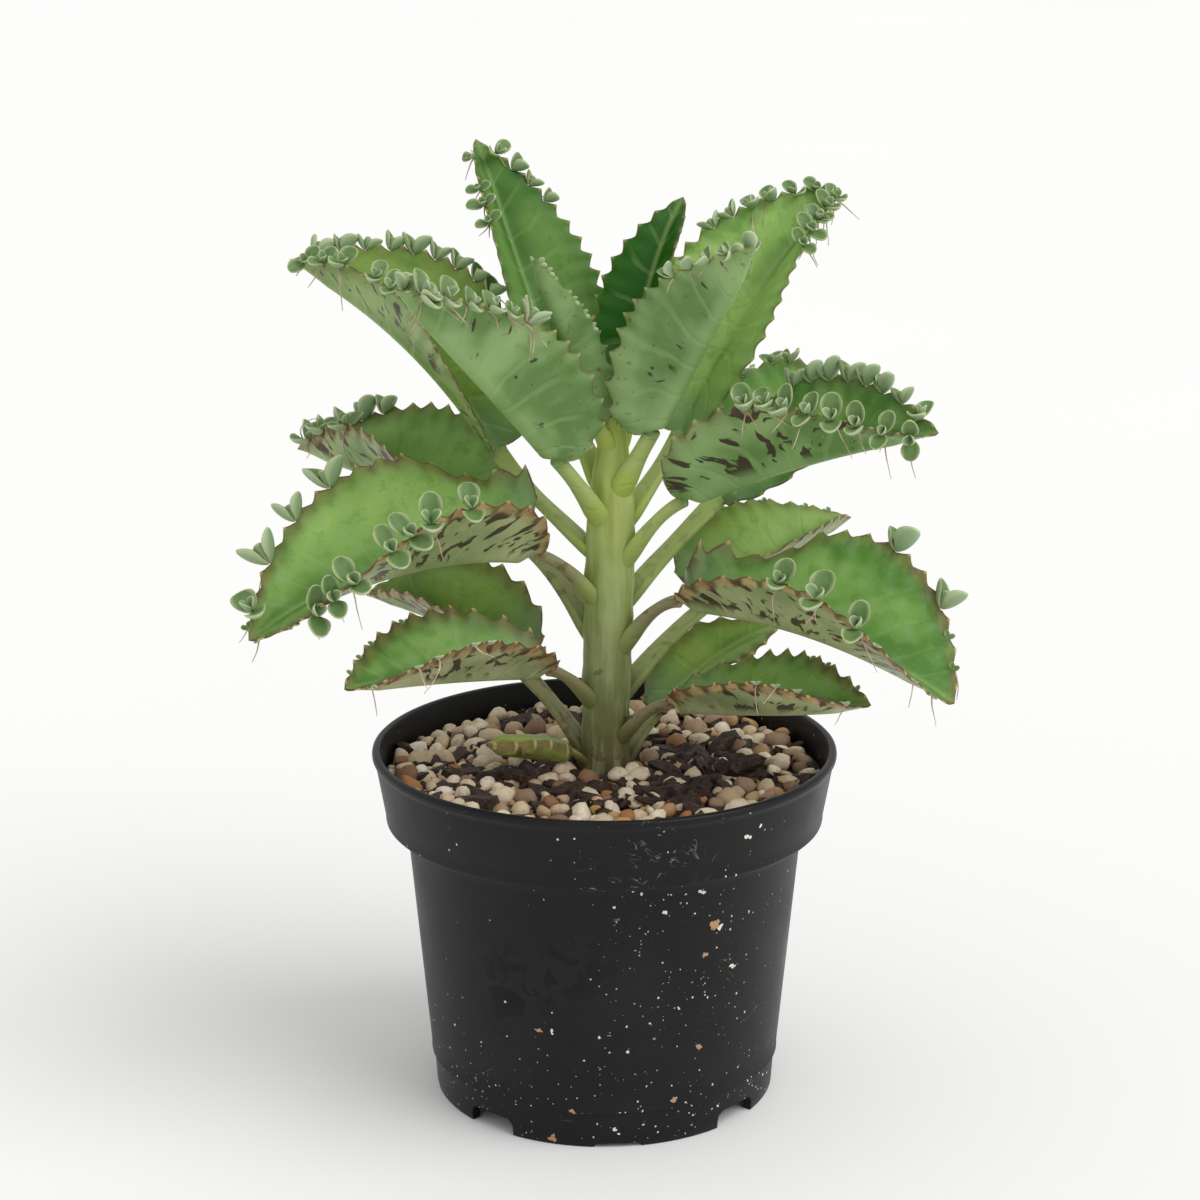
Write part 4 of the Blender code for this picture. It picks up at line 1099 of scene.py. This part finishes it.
def makeKids(name, s, rows, halves, node, seed):
    rng = random.Random(seed * 13 + 5)
    p = plantletBuild
    leaflets, insides, threads = [], [], []
    sky = np.array([0, 0, 1.0])

    # inside: how much of the hollow side's dark colour, with its painted shade, the leaflet gets
    def addLeaflet(root, way, cupSide, length, width, inside=1.0):
        leaflets.append(placeLeaflet(root, way, cupSide, length, width))
        insides.append(leafletInside * inside)

    def addRoot(start, way, length):
        threads.append(threadRoot(start, unit(way), length, rng))

    def notches(sign, first, last, number):
        # the margin in the notches nearest to an even row of places along the blade
        point, normal = halves[sign][2:]
        for i in range(number):
            k = round(mix(first, last, i / max(number - 1, 1)) * rows.teeth)
            k = min(max(k, 1), rows.teeth - 0.35)
            row = rows.stalkCount + int(round(k * leafBuild["rowsPerTooth"])) - 1
            row = min(row, len(rows.u) - 3)
            yield point[row, -1], unit(point[row, -1] - point[row, -4]), rows.tangent[row], normal[row, -1]

    for sign, first, last, number, height in s.kids:
        for edge, outward, tangent, _ in notches(sign, first, last, number):
            size = height * rng.uniform(0.82, 1.12)
            axis = unit(outward * 0.9 + sky * 0.42 + tangent * rng.uniform(-0.15, 0.3))
            flat = unit(np.cross(axis, tangent))
            if np.dot(flat, outward) < 0:
                flat = -flat
            # on the far margins they open along the margin
            far = outward[1] > 0
            twist = rng.uniform(-p["jitter"], p["jitter"]) + (p["farTwist"] if far else 0)
            spread = unit(flat * math.cos(twist) + np.cross(axis, flat) * math.sin(twist))
            other = np.cross(axis, spread)
            root = edge + outward * 0.2
            for turn in (-1, 1):
                opened = math.radians(p["outerOpen"] * rng.uniform(0.75, 1.15)) * (p["farOpen"] if far else 1)
                aside = spread * turn
                addLeaflet(root, axis * math.cos(opened) + aside * math.sin(opened),
                           axis * math.sin(opened) - aside * math.cos(opened),
                           size * p["outerLength"], size * p["outerWidth"] * rng.uniform(0.9, 1.1))
                opened = math.radians(p["innerOpen"] * rng.uniform(0.8, 1.3))
                aside = other * turn
                addLeaflet(root + axis * 0.4, axis * math.cos(opened) + aside * math.sin(opened),
                           axis * math.sin(opened) - aside * math.cos(opened),
                           size * p["innerLength"] * rng.uniform(0.85, 1.1), size * p["innerWidth"], 0.3)
            for _ in range(rng.choice((1, 1, 2))):
                addRoot(edge - outward * 0.3,
                        outward * rng.uniform(0.2, 0.7) - sky * 0.5 + tangent * rng.uniform(-0.3, 0.4),
                        rng.uniform(p["rootMin"], p["rootMax"]) * min(1.0, size / 7))
    for sign, first, last, number in s.stubs:
        for edge, outward, tangent, normal in notches(sign, first, last, number):
            for turn in (-1, 1):
                addLeaflet(edge - outward * 0.6, outward * 0.8 + tangent * turn * 0.6, normal,
                           p["stubLength"], p["stubWidth"])
            if rng.random() < 0.6 * (s.age > 0.3):
                addRoot(edge, outward * 0.4 - sky * 0.6, rng.uniform(5, 10))
    if leaflets:
        kids = meshOfMany(name + "_plantlets", leaflets, leafletFaces)
        setFloats(kids, "leafletRim", np.tile(leafletRim, len(leaflets)))
        setFloats(kids, "leafletInside", np.concatenate(insides))
        closeAndSmooth(kids, 80)
        finishPiece(kids, plantletSkin, "leaf_skin", node)
    if threads:
        roots = meshOfMany(name + "_roots", threads, threadFaces())
        closeAndSmooth(roots, 80)
        finishPiece(roots, rootSkin, "leaf_skin", node)


def leafOf(shape):
    numbers, extras = shape
    return SimpleNamespace(**{**leafExtras, **dict(zip(leafColumns, numbers)), **extras})


for number, (node, shape) in enumerate(leafShapes.items(), 1):
    name = f"toothedLeaf{number:02d}"
    rows, halves = makeLeaf(name, leafOf(shape), node, number)
    makeKids(name, leafOf(shape), rows, halves, node, number)
for number, (name, shape) in enumerate(apexShapes.items(), 31):
    makeLeaf(name, leafOf(shape), "stem", number)
print("leaves and plantlets made")


# ---------- studio

studio = {
    "floorColours": ("#f5f5f4", "#f7f7f6"), "floorSize": 40, "world": 0.75, "sunPower": 1.42, "sunAngle": 48,
    "sunPlace": (0.60, -0.32, 0.73), "cameraPlace": (0.00012, -0.67525, 0.31537), "cameraTilt": 74.72,
    "lens": 82.32, "sensor": 36.0,
}


def makeFloor():
    deselectAll()
    bpy.ops.mesh.primitive_plane_add(size=studio["floorSize"], location=(0, 0, 0))
    floor = bpy.context.object
    floor.name = "paleFloor"
    # matt seamless paper, all but white
    material, place = newMaterial("paleStudioFloor", {"Roughness": 0.85, "Specular IOR Level": 0.15})
    connect(material, ramp(noise(place, 1.2), list(zip((0.3, 0.7), studio["floorColours"]))))
    floor.data.materials.append(material)


def makeLights():
    world = bpy.data.worlds.new("paleStudio")
    world.use_nodes = True
    background = world.node_tree.nodes["Background"].inputs
    background[0].default_value = (1.0, 1.0, 1.0, 1.0)
    background[1].default_value = studio["world"]
    bpy.context.scene.world = world
    data = bpy.data.lights.new("softSun", "SUN")
    data.energy = studio["sunPower"]
    data.angle = math.radians(studio["sunAngle"])
    lamp = bpy.data.objects.new("softSun", data)
    lamp.location = studio["sunPlace"]
    lamp.rotation_euler = (-lamp.location).to_track_quat("-Z", "Y").to_euler()
    bpy.context.scene.collection.objects.link(lamp)


def makeCamera():
    data = bpy.data.cameras.new("photoCamera")
    data.lens = studio["lens"]
    data.sensor_width = studio["sensor"]
    camera = bpy.data.objects.new("photoCamera", data)
    camera.location = studio["cameraPlace"]
    camera.rotation_euler = (math.radians(studio["cameraTilt"]), 0, 0)
    bpy.context.scene.collection.objects.link(camera)
    bpy.context.scene.camera = camera


makeFloor()
makeLights()
makeCamera()
bpy.context.scene.view_settings.view_transform = "Standard"
print("studio ready")
